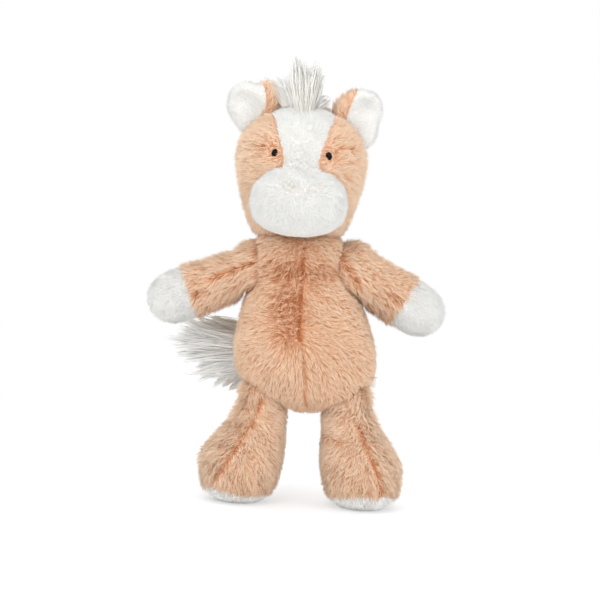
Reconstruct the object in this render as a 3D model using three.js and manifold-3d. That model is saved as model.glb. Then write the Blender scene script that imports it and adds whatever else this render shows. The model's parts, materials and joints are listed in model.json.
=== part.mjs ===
import * as THREE from 'three';
import { mergeVertices } from 'three/addons/utils/BufferGeometryUtils.js';
import Module from 'manifold-3d';

const wasm = await Module();
wasm.setup();

// A stuffed toy horse, standing and facing -Y, in millimetres with +Z up.
// Its own left is on the +X side. Sizes are to the base of the pile.
const bodySize = {
  bottom: 64, height: 120, halfWidth: 46, halfDepth: 37.5, centre: 1, lean: -11.3, sides: 18, rings: 11,
};
const neckSize = {
  radius: 32, height: 161, gap: 0.9, threadRadius: 0.6, threadSink: 1.2, threadRise: 18, threadEase: 0.7,
  threadSides: 5, sides: 18,
};
const headSize = {
  bottom: 176, height: 89.5, halfWidth: 41.2, halfDepth: 38.5, offset: -2, sides: 18, rings: 11,
};
const muzzleSize = {
  halfWidth: 30.5, halfDepth: 21.5, height: 48, root: 9, level: 203, squareness: 0.86, sides: 14, rings: 7,
};
const blazeSize = {
  topHalfWidth: 19, midHalfWidth: 12.5, lowHalfWidth: 10.5, shoulder: 7, midDrop: 27, lowDrop: 36,
};
const armSize = {
  ballRadius: 18, height: 77.5, halfWidth: 15.6, halfDepth: 15, span: 27.5, level: 157.5, leanShare: 0.88,
  hoofStart: 48.5, leftDroop: 28, rightDroop: 23, leftLift: 6, rightLift: 0, sides: 10, rings: 8,
};
const legSize = {
  height: 84, halfWidth: 25.6, halfDepth: 28, hipLevel: 73, hipSpan: 27, footSpan: 41.5, hipForward: 5,
  toeForward: 5, rollRadius: 14, rollHalfLength: 16.5, soleLevel: 7, solePress: 0.5, sides: 12, rings: 9,
};
const legSeam = { hipSpan: 28.5, hipLevel: 71, toeSpan: 54, toeLevel: 20 };
const earSize = {
  halfWidth: 16.5, halfDepth: 7, halfHeight: 16.5, lining: 2.2, clearance: 0.5, dish: 5.5, scoop: 3,
  rootRadius: 4.6, rootHalfLength: 12, span: 27.6, level: 254.5, forward: 1, tilt: 41, turn: 26, sink: 2.5,
  sides: 10, rings: 6,
};
const eyeSize = {
  radius: 3.3, dome: 2.4, rim: 0.8, shankRadius: 1.1, shankLength: 8, span: 18.4, level: 235.3, sink: 1.2,
  turn: 25, washerRadius: 5, washerThickness: 1.4, washerDepth: 5, grip: 0.15, domeRings: 3, sides: 8,
};
const tailSize = { knobRadius: 7, level: 93, offset: -6, lockRadius: 6.2, reach: 86, outward: 20 };
const forelockSize = {
  rise: 36, lockRadius: 4.4, lockSink: 1, offset: -1, forward: 3, padHalfWidth: 12, padHalfDepth: 9,
  padHalfHeight: 5,
};
const maneSize = {
  locks: 5, lockRadius: 4.6, length: 24, rootSink: 1, padHalfWidth: 5.2, padHalfLength: 11, firstTurn: 24,
  lastTurn: 121, outShare: 0.6, dropShare: 0.55,
};
const labelSize = { reach: 6, thickness: 1.2, height: 7, level: 84, widthShare: 0.9 };
const beanLevel = 86;
const coverThickness = 2.6;
const seamGap = 0.3;
const ballGap = 0.75;
const ballEase = 0.1;
const ballSides = 12;
const hairSides = 5;
const padSides = 8;
const swingGap = 0.9;
const hollowSides = 0.62;
const hollowRings = 0.85;
const roomAround = 400;

// How far each joint swings, in degrees from the pose at rest
const armSwing = { lowest: 40, highest: 25 };
const legSwing = { back: 10, forward: 45 };
const earSwing = { back: 20, forward: 25 };
const tailSwing = { forward: 5, back: 70 };

// Rows run from the low end to the high end: place along the length, half width,
// half depth and sideways lean, each a share of the piece's own size.
const bodyShares = [
  [0, 0, 0, 0], [0.015, 0.36, 0.38, 0], [0.065, 0.69, 0.7, 0.04], [0.14, 0.9, 0.89, 0.1],
  [0.24, 0.995, 0.98, 0.22], [0.34, 0.995, 1, 0.31], [0.45, 0.93, 0.96, 0.4], [0.56, 0.84, 0.91, 0.54],
  [0.67, 0.76, 0.86, 0.7], [0.77, 0.69, 0.83, 0.88], [0.84, 0.64, 0.77, 1], [0.91, 0.52, 0.62, 1],
  [0.96, 0.38, 0.46, 1], [0.99, 0.2, 0.24, 1], [1, 0, 0, 1],
];
const headShares = [
  [0, 0, 0], [0.02, 0.4, 0.42], [0.07, 0.64, 0.68], [0.15, 0.755, 0.79], [0.24, 0.82, 0.86],
  [0.34, 0.885, 0.93], [0.46, 0.955, 0.985], [0.6, 1, 1], [0.72, 0.98, 0.97], [0.82, 0.89, 0.88],
  [0.905, 0.71, 0.72], [0.96, 0.49, 0.5], [0.99, 0.26, 0.27], [1, 0, 0],
];
const muzzleShares = [
  [0, 0, 0], [0.04, 0.62, 0.62], [0.2, 0.94, 0.92], [0.45, 1, 1], [0.65, 0.98, 0.97],
  [0.8, 0.88, 0.86], [0.91, 0.67, 0.64], [0.975, 0.38, 0.36], [1, 0, 0],
];
const armShares = [
  [0, 0, 0], [0.04, 0.6, 0.6], [0.14, 0.94, 0.94], [0.3, 0.97, 0.96], [0.48, 0.99, 0.97],
  [0.64, 1.06, 1.02], [0.78, 1.07, 1], [0.88, 0.94, 0.86], [0.95, 0.68, 0.62], [0.985, 0.38, 0.36], [1, 0, 0],
];
const legShares = [
  [0, 0, 0, 0], [0.004, 0.42, 0.44, 0], [0.02, 0.62, 0.66, 0], [0.07, 0.79, 0.83, 0],
  [0.13, 0.88, 0.92, 0.01], [0.22, 0.97, 1, 0.03], [0.33, 1, 0.99, 0.1], [0.43, 0.95, 0.89, 0.26],
  [0.52, 0.83, 0.76, 0.44], [0.6, 0.72, 0.63, 0.6], [0.69, 0.65, 0.54, 0.78], [0.8, 0.6, 0.45, 0.94],
  [0.9, 0.52, 0.37, 1], [0.97, 0.32, 0.22, 1], [1, 0, 0, 1],
];
const lockShares = [[0, 0], [0.8, 0.06], [1, 0.36], [0.66, 0.72], [0, 1]];

// Tips of the long hair, each a share of its bundle's reach: across, back and up
const tailTipShares = [
  [-0.72, 0.1, 0.28], [-0.9, 0.03, 0.24], [-0.98, 0.02, 0.1], [-0.93, 0.12, 0], [-0.83, -0.02, -0.1],
  [-0.68, 0.1, -0.17], [-0.54, 0.02, -0.25], [-0.5, 0.14, 0.12],
];
const forelockTipShares = [
  [-0.18, -0.1, 1], [0.21, -0.16, 0.93], [0.02, 0.06, 0.86], [-0.4, 0.02, 0.72], [0.38, 0.04, 0.68],
  [-0.64, 0.3, 0.58], [0.2, 0.34, 0.76], [-0.1, -0.34, 0.66],
];

const alongX = new THREE.Vector3(1, 0, 0);
const alongY = new THREE.Vector3(0, 1, 0);
const alongZ = new THREE.Vector3(0, 0, 1);
const radians = THREE.MathUtils.degToRad;

const colours = {
  peach: 0xe4bc9e, white: 0xf0f0ec, hair: 0xdcdad3, stuffing: 0xf4f2ee, black: 0x0b0a0a, bead: 0xc9c2b4,
};
const parts = new THREE.Group();

// A closed solid from a geometry, with its shared points joined and its flat faces dropped
function solidFrom(geometry) {
  const bare = geometry.clone();
  bare.deleteAttribute('normal');
  bare.deleteAttribute('uv');
  const merged = mergeVertices(bare);
  const index = merged.index.array;
  const faces = [];
  for (let i = 0; i < index.length; i += 3) {
    const [a, b, c] = [index[i], index[i + 1], index[i + 2]];
    if (a !== b && b !== c && c !== a) {
      faces.push(a, b, c);
    }
  }
  const vertProperties = new Float32Array(merged.attributes.position.array);
  return new wasm.Manifold(new wasm.Mesh({ numProp: 3, vertProperties, triVerts: new Uint32Array(faces) }));
}

function geometryFrom(solid) {
  const { vertProperties, triVerts } = solid.getMesh();
  const geometry = new THREE.BufferGeometry();
  geometry.setAttribute('position', new THREE.BufferAttribute(new Float32Array(vertProperties), 3));
  geometry.setIndex(Array.from(triVerts));
  return geometry;
}

function moved(solid, matrix) {
  return solidFrom(geometryFrom(solid).applyMatrix4(matrix));
}

function placing(point, ...turns) {
  const matrix = new THREE.Matrix4().makeTranslation(point.x, point.y, point.z);
  turns.forEach(([axis, degrees]) => {
    matrix.multiply(new THREE.Matrix4().makeRotationAxis(axis, radians(degrees)));
  });
  return matrix;
}

function turnAbout(point, axis, degrees) {
  return placing(point, [axis, degrees]).multiply(placing(point.clone().negate()));
}

// A stuffed form that swells and tapers along +Z: a sphere's grid shaped by a table of shares,
// drawn in by an inset. The hollow in a cover and the stuffing in it have a coarser grid.
function stuffedForm(size, inset, shares, { lean = 0, nudge = 0, squareness = 1 } = {}) {
  const hollow = inset > 0;
  const sides = Math.round(size.sides * (hollow ? hollowSides : 1));
  const rings = Math.round(size.rings * (hollow ? hollowRings : 1));
  const girth = new THREE.CatmullRomCurve3(
    shares.map(([along, wide, deep]) => new THREE.Vector3(wide, deep, along)));
  const drift = new THREE.CatmullRomCurve3(
    shares.map(([along, , , sideways = 0]) => new THREE.Vector3(sideways, 0, along)));
  const geometry = new THREE.SphereGeometry(1, sides, rings).rotateX(Math.PI / 2);
  const position = geometry.attributes.position;
  for (let i = 0; i < position.count; i += 1) {
    const place = new THREE.Vector3().fromBufferAttribute(position, i);
    const share = 1 - Math.acos(THREE.MathUtils.clamp(place.z, -1, 1)) / Math.PI;
    const section = girth.getPoint(share);
    const sway = drift.getPoint(share).x;
    const angle = Math.atan2(place.y, place.x);
    const across = Math.sign(Math.cos(angle)) * Math.abs(Math.cos(angle)) ** squareness;
    const through = Math.sign(Math.sin(angle)) * Math.abs(Math.sin(angle)) ** squareness;
    position.setXYZ(i, across * section.x * (size.halfWidth - inset) + sway * lean,
      through * section.y * (size.halfDepth - inset) + sway * nudge, section.z * (size.height - 2 * inset));
  }
  for (let i = 0; i <= sides; i += 1) {
    position.setXYZ(i, lean, nudge, size.height - 2 * inset);
    position.setXYZ(rings * (sides + 1) + i, 0, 0, 0);
  }
  return geometry.translate(0, 0, inset);
}

function ellipsoid(halfWidth, halfDepth, halfHeight, sides, rings) {
  const sphere = new THREE.SphereGeometry(1, sides, rings).rotateX(Math.PI / 2);
  return sphere.scale(halfWidth, halfDepth, halfHeight);
}

function ball(radius, centre, sides) {
  const sphere = ellipsoid(radius, radius, radius, sides, sides / 2);
  return solidFrom(sphere.translate(centre.x, centre.y, centre.z));
}

// A tapering lock of long hair, bent along a curve
function hairLock(root, bend, tip, radius) {
  const curve = new THREE.QuadraticBezierCurve3(root, bend, tip);
  const outline = lockShares.map(([girth, along]) => new THREE.Vector2(girth, along));
  const geometry = new THREE.LatheGeometry(outline, hairSides);
  const position = geometry.attributes.position;
  for (let i = 0; i < position.count; i += 1) {
    const place = new THREE.Vector3().fromBufferAttribute(position, i);
    const heading = curve.getTangent(place.y);
    const side = new THREE.Vector3().crossVectors(heading, alongY).normalize();
    const other = new THREE.Vector3().crossVectors(side, heading).normalize();
    const at = curve.getPoint(place.y);
    at.addScaledVector(side, place.x * radius).addScaledVector(other, place.z * radius);
    position.setXYZ(i, at.x, at.y, at.z);
  }
  return solidFrom(geometry);
}

// The space on one side of an upright plane through a point, the plane leaning about Y
function sideOf(x, z, leanDegrees, direction) {
  const block = new THREE.BoxGeometry(roomAround, roomAround, roomAround);
  block.translate((direction * (roomAround + seamGap)) / 2, 0, 0).rotateY(radians(leanDegrees));
  return solidFrom(block.translate(x, 0, z));
}

function endOf(y, direction) {
  const block = new THREE.BoxGeometry(roomAround, roomAround, roomAround);
  return solidFrom(block.translate(0, y + (direction * (roomAround + seamGap)) / 2, 0));
}

function between(low, high) {
  const block = new THREE.BoxGeometry(roomAround, roomAround, high - low);
  return solidFrom(block.translate(0, 0, (low + high) / 2));
}

function together(solids) {
  return solids.reduce((sum, solid) => sum.add(solid));
}

// Cuts a limb clear of the larger piece, as that piece lies when the limb has swung by each angle
function clearedAt(limb, larger, pivot, axis, angles) {
  return angles.reduce((rest, angle) => rest.subtract(moved(larger, turnAbout(pivot, axis, -angle))), limb);
}

// The body of a cut piece, without the crumbs that a cut can leave beside it
function largestOf(solid) {
  return solid.decompose().reduce((best, piece) => (piece.volume() > best.volume() ? piece : best));
}

function addPart(name, solid, colour, roughness = 0.95) {
  const geometry = geometryFrom(largestOf(solid)).toNonIndexed();
  geometry.computeVertexNormals();
  const material = new THREE.MeshStandardMaterial({ color: colour, roughness, metalness: 0 });
  const mesh = new THREE.Mesh(geometry, material);
  mesh.name = name;
  parts.add(mesh);
}

const neckCentre = new THREE.Vector3(bodySize.centre + bodySize.lean, 0, neckSize.height);
const headX = neckCentre.x + headSize.offset;
const sides = [{ name: 'left', way: 1 }, { name: 'right', way: -1 }];
const core = coverThickness + seamGap;

// Torso: a leaning pear with a round neck for the head to turn on

function pearForm(inset) {
  const pear = stuffedForm(bodySize, inset, bodyShares, { lean: bodySize.lean });
  return solidFrom(pear.translate(bodySize.centre, 0, bodySize.bottom));
}

function torsoForm(inset) {
  return pearForm(inset).add(ball(neckSize.radius - inset, neckCentre, neckSize.sides));
}

function shoulderOf(way) {
  const middle = bodySize.centre + bodySize.lean * armSize.leanShare;
  return new THREE.Vector3(middle + way * armSize.span, 0, armSize.level);
}

// A ball with its poles on the axis that it turns about
function shoulderBall(way, gap) {
  const centre = shoulderOf(way);
  const sphere = new THREE.SphereGeometry(armSize.ballRadius + gap, ballSides, ballSides / 2);
  return solidFrom(sphere.translate(centre.x, centre.y, centre.z));
}

function hipOf(way) {
  return new THREE.Vector3(way * legSize.hipSpan, -legSize.hipForward, legSize.hipLevel);
}

function hipRoll(way, gap) {
  const hip = hipOf(way);
  const roll = new THREE.SphereGeometry(1, ballSides, ballSides / 2).rotateZ(Math.PI / 2);
  roll.scale(legSize.rollHalfLength + gap, legSize.rollRadius + gap, legSize.rollRadius + gap);
  return solidFrom(roll.translate(hip.x, hip.y, hip.z));
}

function neckThread(extra) {
  const reach = Math.sqrt((neckSize.radius - neckSize.threadSink) ** 2 - neckSize.threadRise ** 2);
  const thickness = neckSize.threadRadius + extra;
  const ring = new THREE.TorusGeometry(reach, thickness, neckSize.threadSides, neckSize.sides);
  return solidFrom(ring.translate(neckCentre.x, neckCentre.y, neckCentre.z + neckSize.threadRise));
}

const tailRoot = new THREE.Vector3(
  tailSize.offset, bodySize.halfDepth - tailSize.knobRadius / 2, tailSize.level);
const limbSockets = (gap) => together([
  ...sides.map(({ way }) => shoulderBall(way, gap)),
  ...sides.map(({ way }) => hipRoll(way, gap)),
  ball(tailSize.knobRadius + gap, tailRoot, ballSides),
]);
const torsoSockets = limbSockets(ballGap).add(neckThread(neckSize.threadEase));
const torsoSweep = torsoForm(-swingGap).subtract(limbSockets(ballEase));

function makeTorso() {
  const cover = torsoForm(0).subtract(pearForm(coverThickness)).subtract(torsoSockets);
  const stuffing = pearForm(core).subtract(torsoSockets);
  const seamLean = THREE.MathUtils.radToDeg(Math.atan(bodySize.lean / (neckSize.height - bodySize.bottom)));
  sides.forEach(({ name, way }) => {
    const half = cover.intersect(sideOf(bodySize.centre, bodySize.bottom, seamLean, way));
    addPart(`torso_front_${name}`, half.intersect(endOf(0, -1)), colours.peach);
    addPart(`torso_back_${name}`, half.intersect(endOf(0, 1)), colours.peach);
  });
  addPart('torso_stuffing', stuffing.intersect(between(beanLevel + seamGap, roomAround)), colours.stuffing);
  addPart('bean_bag', stuffing.intersect(between(0, beanLevel)), colours.bead);
  addPart('neck_thread', neckThread(0), colours.peach);
}

function makeLabel() {
  const lean = (bodySize.lean * (labelSize.level - bodySize.bottom)) / bodySize.height;
  const box = new THREE.BoxGeometry(bodySize.halfWidth, labelSize.thickness, labelSize.height);
  const edge = bodySize.halfWidth * labelSize.widthShare + labelSize.reach;
  box.translate(bodySize.centre + lean / 2 + edge - bodySize.halfWidth / 2, 0, labelSize.level);
  const tab = solidFrom(box);
  addPart('seam_label', tab.subtract(torsoForm(-seamGap)).subtract(torsoSockets), colours.white, 0.8);
}

function makeTail() {
  const tips = tailTipShares.map(
    (share) => new THREE.Vector3(...share).multiplyScalar(tailSize.reach).add(tailRoot));
  const bend = new THREE.Vector3(-tailSize.reach / 4, tailSize.outward, 0).add(tailRoot);
  const locks = tips.map((tip) => {
    const middle = bend.clone().setZ((bend.z + tip.z) / 2);
    return hairLock(tailRoot, middle, tip.clone().setY(tip.y + tailSize.knobRadius / 2), tailSize.lockRadius);
  });
  const bundle = clearedAt(together(locks), torsoSweep, tailRoot, alongZ, [0, tailSwing.forward]);
  addPart('tail', bundle.add(ball(tailSize.knobRadius, tailRoot, ballSides)), colours.hair);
}

// Arms: a tube of peach pile on a ball at the shoulder, with a white hoof at its end

function makeArm({ name, way }) {
  const shoulder = shoulderOf(way);
  const droop = way > 0 ? armSize.leftDroop : armSize.rightDroop;
  const lift = way > 0 ? armSize.leftLift : armSize.rightLift;
  const root = shoulder.clone().setZ(shoulder.z + lift);
  const place = placing(root, [alongY, way * (90 + droop)]);
  const lowering = way * (armSwing.lowest - droop);
  const tube = (inset) => moved(solidFrom(stuffedForm(armSize, inset, armShares)), place);
  const raising = -way * (armSwing.highest + droop);
  const swings = [0, lowering / 2, lowering, raising / 2, raising];
  const fitted = (solid) => clearedAt(solid, torsoSweep, shoulder, alongY, swings);
  const cover = fitted(tube(0)).add(shoulderBall(way, 0)).subtract(tube(coverThickness));
  const hoofEdge = armSize.hoofStart + seamGap / 2;
  const sleeve = moved(between(-roomAround, hoofEdge - seamGap), place);
  addPart(`arm_${name}`, cover.intersect(sleeve), colours.peach);
  addPart(`hoof_${name}`, cover.intersect(moved(between(hoofEdge, roomAround), place)), colours.white);
  addPart(`arm_stuffing_${name}`, fitted(tube(core)), colours.stuffing);
}

// Legs: a bulb of a foot on a leg that narrows to a roll at the hip

function legForm(inset, way) {
  const lean = way * (legSize.hipSpan - legSize.footSpan);
  const form = stuffedForm(legSize, inset, legShares, { lean, nudge: legSize.toeForward });
  form.translate(way * legSize.footSpan, -legSize.hipForward - legSize.toeForward, -legSize.solePress);
  return solidFrom(form).intersect(between(inset, roomAround));
}

function makeLeg({ name, way }) {
  const swings = [legSwing.back, 0, -legSwing.forward / 2, -legSwing.forward];
  const fitted = (solid) => clearedAt(solid, torsoSweep, hipOf(way), alongX, swings);
  const cover = fitted(legForm(0, way)).add(hipRoll(way, 0)).subtract(legForm(coverThickness, way));
  const rise = legSeam.hipLevel - legSeam.toeLevel;
  const seamLean = THREE.MathUtils.radToDeg(Math.atan((legSeam.toeSpan - legSeam.hipSpan) / rise));
  const seamSide = (direction) => sideOf(way * legSeam.hipSpan, legSeam.hipLevel, -way * seamLean, direction);
  const upper = cover.intersect(between(legSize.soleLevel + seamGap, roomAround));
  addPart(`leg_outer_${name}`, upper.intersect(seamSide(way)), colours.peach);
  addPart(`leg_inner_${name}`, upper.intersect(seamSide(-way)), colours.peach);
  addPart(`sole_${name}`, cover.intersect(between(0, legSize.soleLevel)), colours.white);
  addPart(`leg_stuffing_${name}`, fitted(legForm(core, way)), colours.stuffing);
}

// Head: a rounded block with a muzzle that stands out, cheeks, a blaze, ears and bead eyes

function skullForm(inset) {
  return solidFrom(stuffedForm(headSize, inset, headShares).translate(headX, 0, headSize.bottom));
}

function muzzleForm(inset) {
  const form = stuffedForm(muzzleSize, inset, muzzleShares, { squareness: muzzleSize.squareness });
  return solidFrom(form.rotateX(Math.PI / 2).translate(headX, -muzzleSize.root, muzzleSize.level));
}

function blazeRoom(extra) {
  const top = headSize.bottom + headSize.height;
  const edge = [
    [blazeSize.topHalfWidth, blazeSize.shoulder], [blazeSize.topHalfWidth, -blazeSize.shoulder],
    [blazeSize.midHalfWidth, -blazeSize.midDrop], [blazeSize.lowHalfWidth, -blazeSize.lowDrop],
    [blazeSize.lowHalfWidth, muzzleSize.level - top],
  ];
  const rightEdge = edge.map(([across, drop]) => new THREE.Vector2(across + extra, top + drop));
  const leftEdge = edge.map(([across, drop]) => new THREE.Vector2(-across - extra, top + drop)).reverse();
  const outline = new THREE.Shape([...rightEdge, ...leftEdge]);
  const block = new THREE.ExtrudeGeometry(outline, { depth: headSize.halfDepth * 2, bevelEnabled: false });
  return solidFrom(block.rotateX(Math.PI / 2).translate(headX, extra, 0));
}

function earPlace(way) {
  const root = new THREE.Vector3(headX + way * earSize.span, -earSize.forward, earSize.level);
  return { root, matrix: placing(root, [alongY, way * earSize.tilt], [alongZ, way * earSize.turn]) };
}

function earRoll(gap) {
  const roll = new THREE.SphereGeometry(1, ballSides, ballSides / 2).rotateZ(Math.PI / 2);
  const radius = earSize.rootRadius + gap;
  return solidFrom(roll.scale(earSize.rootHalfLength + gap, radius, radius));
}

function eyePlace(way) {
  const depth = headSize.halfDepth * Math.sqrt(1 - (eyeSize.span / headSize.halfWidth) ** 2);
  const facing = placing(new THREE.Vector3(headX + way * eyeSize.span, -depth, eyeSize.level),
    [alongZ, way * eyeSize.turn], [alongX, 90]);
  return facing.multiply(placing(new THREE.Vector3(0, 0, -eyeSize.sink)));
}

function turnedPiece(outline) {
  return solidFrom(new THREE.LatheGeometry(outline.map(([r, z]) => new THREE.Vector2(r, z)), eyeSize.sides)
    .rotateX(Math.PI / 2));
}

function eyeBead(gap) {
  const { radius, dome, rim, shankRadius, shankLength } = eyeSize;
  const curve = Array.from({ length: eyeSize.domeRings }, (_, i) => {
    const angle = (i * Math.PI) / (2 * eyeSize.domeRings);
    return [(radius + gap) * Math.cos(angle), (dome + gap) * Math.sin(angle)];
  });
  return turnedPiece([
    [0, -shankLength - gap], [shankRadius + gap, -shankLength - gap], [shankRadius + gap, -rim - gap],
    [radius + gap, -rim - gap], ...curve, [0, dome + gap],
  ]);
}

function eyeWasher() {
  const { shankRadius, grip, washerRadius, washerDepth, washerThickness } = eyeSize;
  const inner = shankRadius + grip;
  const low = -washerDepth - washerThickness;
  return turnedPiece([
    [inner, low], [washerRadius, low], [washerRadius, -washerDepth], [inner, -washerDepth], [inner, low]]);
}

function washerPocket() {
  const reach = eyeSize.washerRadius + eyeSize.rim;
  const low = -eyeSize.shankLength - eyeSize.rim;
  return turnedPiece([[0, low], [reach, low], [reach, eyeSize.dome], [0, eyeSize.dome]]);
}

const headSocketsWith = (gap) => together([
  ball(neckSize.radius + neckSize.gap, neckCentre, neckSize.sides),
  ...sides.map(({ way }) => moved(earRoll(gap), earPlace(way).matrix)),
]);
const headSockets = headSocketsWith(ballGap);
const headRoom = skullForm(-seamGap).subtract(headSockets);
const headSweep = skullForm(-earSize.clearance).subtract(headSocketsWith(ballEase));

function makeHead() {
  const hollow = skullForm(coverThickness).add(muzzleForm(coverThickness));
  const eyeSeats = together(sides.map(({ way }) => moved(eyeBead(seamGap), eyePlace(way))));
  const skullCover = skullForm(0).subtract(hollow).subtract(headSockets).subtract(eyeSeats);
  const cheeks = skullCover.subtract(blazeRoom(seamGap));
  sides.forEach(({ name, way }) => {
    addPart(`cheek_${name}`, cheeks.intersect(sideOf(headX, headSize.bottom, 0, way)), colours.peach);
    addPart(`eye_${name}`, moved(eyeBead(0), eyePlace(way)), colours.black, 0.08);
    addPart(`eye_washer_${name}`, moved(eyeWasher(), eyePlace(way)), colours.white, 0.5);
  });
  addPart('blaze', skullCover.intersect(blazeRoom(0)), colours.white);
  const muzzle = muzzleForm(0).subtract(hollow).subtract(skullForm(-seamGap)).subtract(headSockets);
  addPart('muzzle', muzzle, colours.white);
  const pockets = together(sides.map(({ way }) => moved(washerPocket(), eyePlace(way))));
  const stuffing = skullForm(core).add(muzzleForm(core)).subtract(headSockets).subtract(pockets);
  addPart('head_stuffing', stuffing, colours.stuffing);
}

// One cupped ear in its own frame: rising along +Z with its open side to -Y
function earShell(inset) {
  return solidFrom(ellipsoid(earSize.halfWidth - inset, earSize.halfDepth - inset, earSize.halfHeight - inset,
    earSize.sides, earSize.rings).translate(0, 0, earSize.halfHeight - earSize.sink));
}

function earScoop(inset) {
  const form = ellipsoid(earSize.halfWidth - earSize.scoop - inset, earSize.halfDepth + earSize.scoop - inset,
    earSize.halfHeight - earSize.scoop - inset, earSize.sides, earSize.rings);
  return solidFrom(form.translate(0, -earSize.dish, earSize.halfHeight - earSize.sink));
}

function makeEar({ name, way }) {
  const { root, matrix } = earPlace(way);
  const axis = alongX.clone().transformDirection(matrix);
  const fitted = (solid) => clearedAt(
    moved(solid, matrix), headSweep, root, axis, [-earSwing.back, earSwing.forward]);
  const back = fitted(earShell(0).subtract(earScoop(0))).add(moved(earRoll(0), matrix));
  const lining = earScoop(seamGap).subtract(earScoop(earSize.lining + seamGap)).intersect(earShell(seamGap));
  addPart(`ear_back_${name}`, back, colours.peach);
  addPart(`ear_lining_${name}`, fitted(lining.subtract(earRoll(seamGap))), colours.white);
}

function makeForelock() {
  const { padHalfWidth, padHalfDepth, padHalfHeight, rise, lockRadius, lockSink } = forelockSize;
  const level = headSize.bottom + headSize.height - padHalfHeight / 2;
  const root = new THREE.Vector3(headX + forelockSize.offset, -forelockSize.forward, level);
  const tips = forelockTipShares.map((share) => new THREE.Vector3(...share).multiplyScalar(rise).add(root));
  const locks = tips.map((tip) => {
    const start = new THREE.Vector3((root.x * 3 + tip.x) / 4, (root.y * 3 + tip.y) / 4, root.z - lockSink);
    const bend = new THREE.Vector3((root.x + tip.x) / 2, root.y, (root.z + tip.z) / 2);
    return hairLock(start, bend, tip, lockRadius);
  });
  const pad = ellipsoid(padHalfWidth, padHalfDepth, padHalfHeight, ballSides, padSides);
  const tuft = together([solidFrom(pad.translate(root.x, root.y, root.z)), ...locks]);
  addPart('forelock', tuft.subtract(headRoom), colours.hair);
}

function makeMane() {
  const { locks, lockRadius, length, rootSink, padHalfWidth, padHalfLength } = maneSize;
  const middle = headSize.bottom + headSize.height / 2;
  const pieces = Array.from({ length: locks }, (_, i) => {
    const turn = maneSize.firstTurn + ((maneSize.lastTurn - maneSize.firstTurn) * i) / (locks - 1);
    const outward = new THREE.Vector3(0, Math.sin(radians(turn)), Math.cos(radians(turn)));
    const rootY = outward.y * (headSize.halfDepth - rootSink);
    const root = new THREE.Vector3(headX, rootY, middle + outward.z * (headSize.height / 2 - rootSink));
    const pad = ellipsoid(padHalfWidth, padHalfLength, padHalfWidth, padSides, padSides - 2);
    pad.rotateX(-radians(turn)).translate(root.x, root.y, root.z);
    const bend = root.clone().addScaledVector(outward, length / 2);
    const tip = root.clone().addScaledVector(outward, length * maneSize.outShare);
    tip.z = root.z - length * maneSize.dropShare;
    tip.x -= (length * (i % 3)) / 6;
    return solidFrom(pad).add(hairLock(root, bend, tip, lockRadius));
  });
  addPart('mane', together(pieces).subtract(skullForm(-seamGap)), colours.hair);
}

makeTorso();
makeLabel();
makeTail();
sides.forEach(makeArm);
sides.forEach(makeLeg);
makeHead();
sides.forEach(makeEar);
makeForelock();
makeMane();

// The origin is on the ground under the middle of the whole toy
const box = new THREE.Box3().setFromObject(parts);
parts.position.set(-(box.min.x + box.max.x) / 2, -(box.min.y + box.max.y) / 2, -box.min.z);

export default parts;
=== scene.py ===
import json
import math

import bmesh
import bpy
import numpy as np
from mathutils import Matrix, Vector
from mathutils.bvhtree import BVHTree


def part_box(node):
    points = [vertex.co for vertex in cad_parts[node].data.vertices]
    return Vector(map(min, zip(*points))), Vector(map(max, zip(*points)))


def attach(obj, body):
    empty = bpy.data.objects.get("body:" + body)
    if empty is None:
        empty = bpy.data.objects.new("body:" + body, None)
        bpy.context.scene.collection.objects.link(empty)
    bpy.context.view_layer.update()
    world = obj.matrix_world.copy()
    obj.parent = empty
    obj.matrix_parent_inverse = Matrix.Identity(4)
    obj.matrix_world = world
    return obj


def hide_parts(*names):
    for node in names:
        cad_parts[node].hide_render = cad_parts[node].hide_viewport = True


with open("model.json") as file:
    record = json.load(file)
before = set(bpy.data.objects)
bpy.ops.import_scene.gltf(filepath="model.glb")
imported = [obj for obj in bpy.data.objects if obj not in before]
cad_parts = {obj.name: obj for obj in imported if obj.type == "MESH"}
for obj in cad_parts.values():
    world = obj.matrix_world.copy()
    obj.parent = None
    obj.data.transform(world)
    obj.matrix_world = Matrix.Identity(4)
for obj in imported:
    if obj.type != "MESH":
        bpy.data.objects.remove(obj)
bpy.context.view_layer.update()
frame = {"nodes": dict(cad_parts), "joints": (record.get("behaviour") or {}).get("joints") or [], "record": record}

mm = 0.001
print("frame loaded:", len(frame["nodes"]), "nodes")

joints = {joint["name"]: joint for joint in frame["joints"]}
bodyNodes = frame["record"]["behaviour"]["bodies"]


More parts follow.
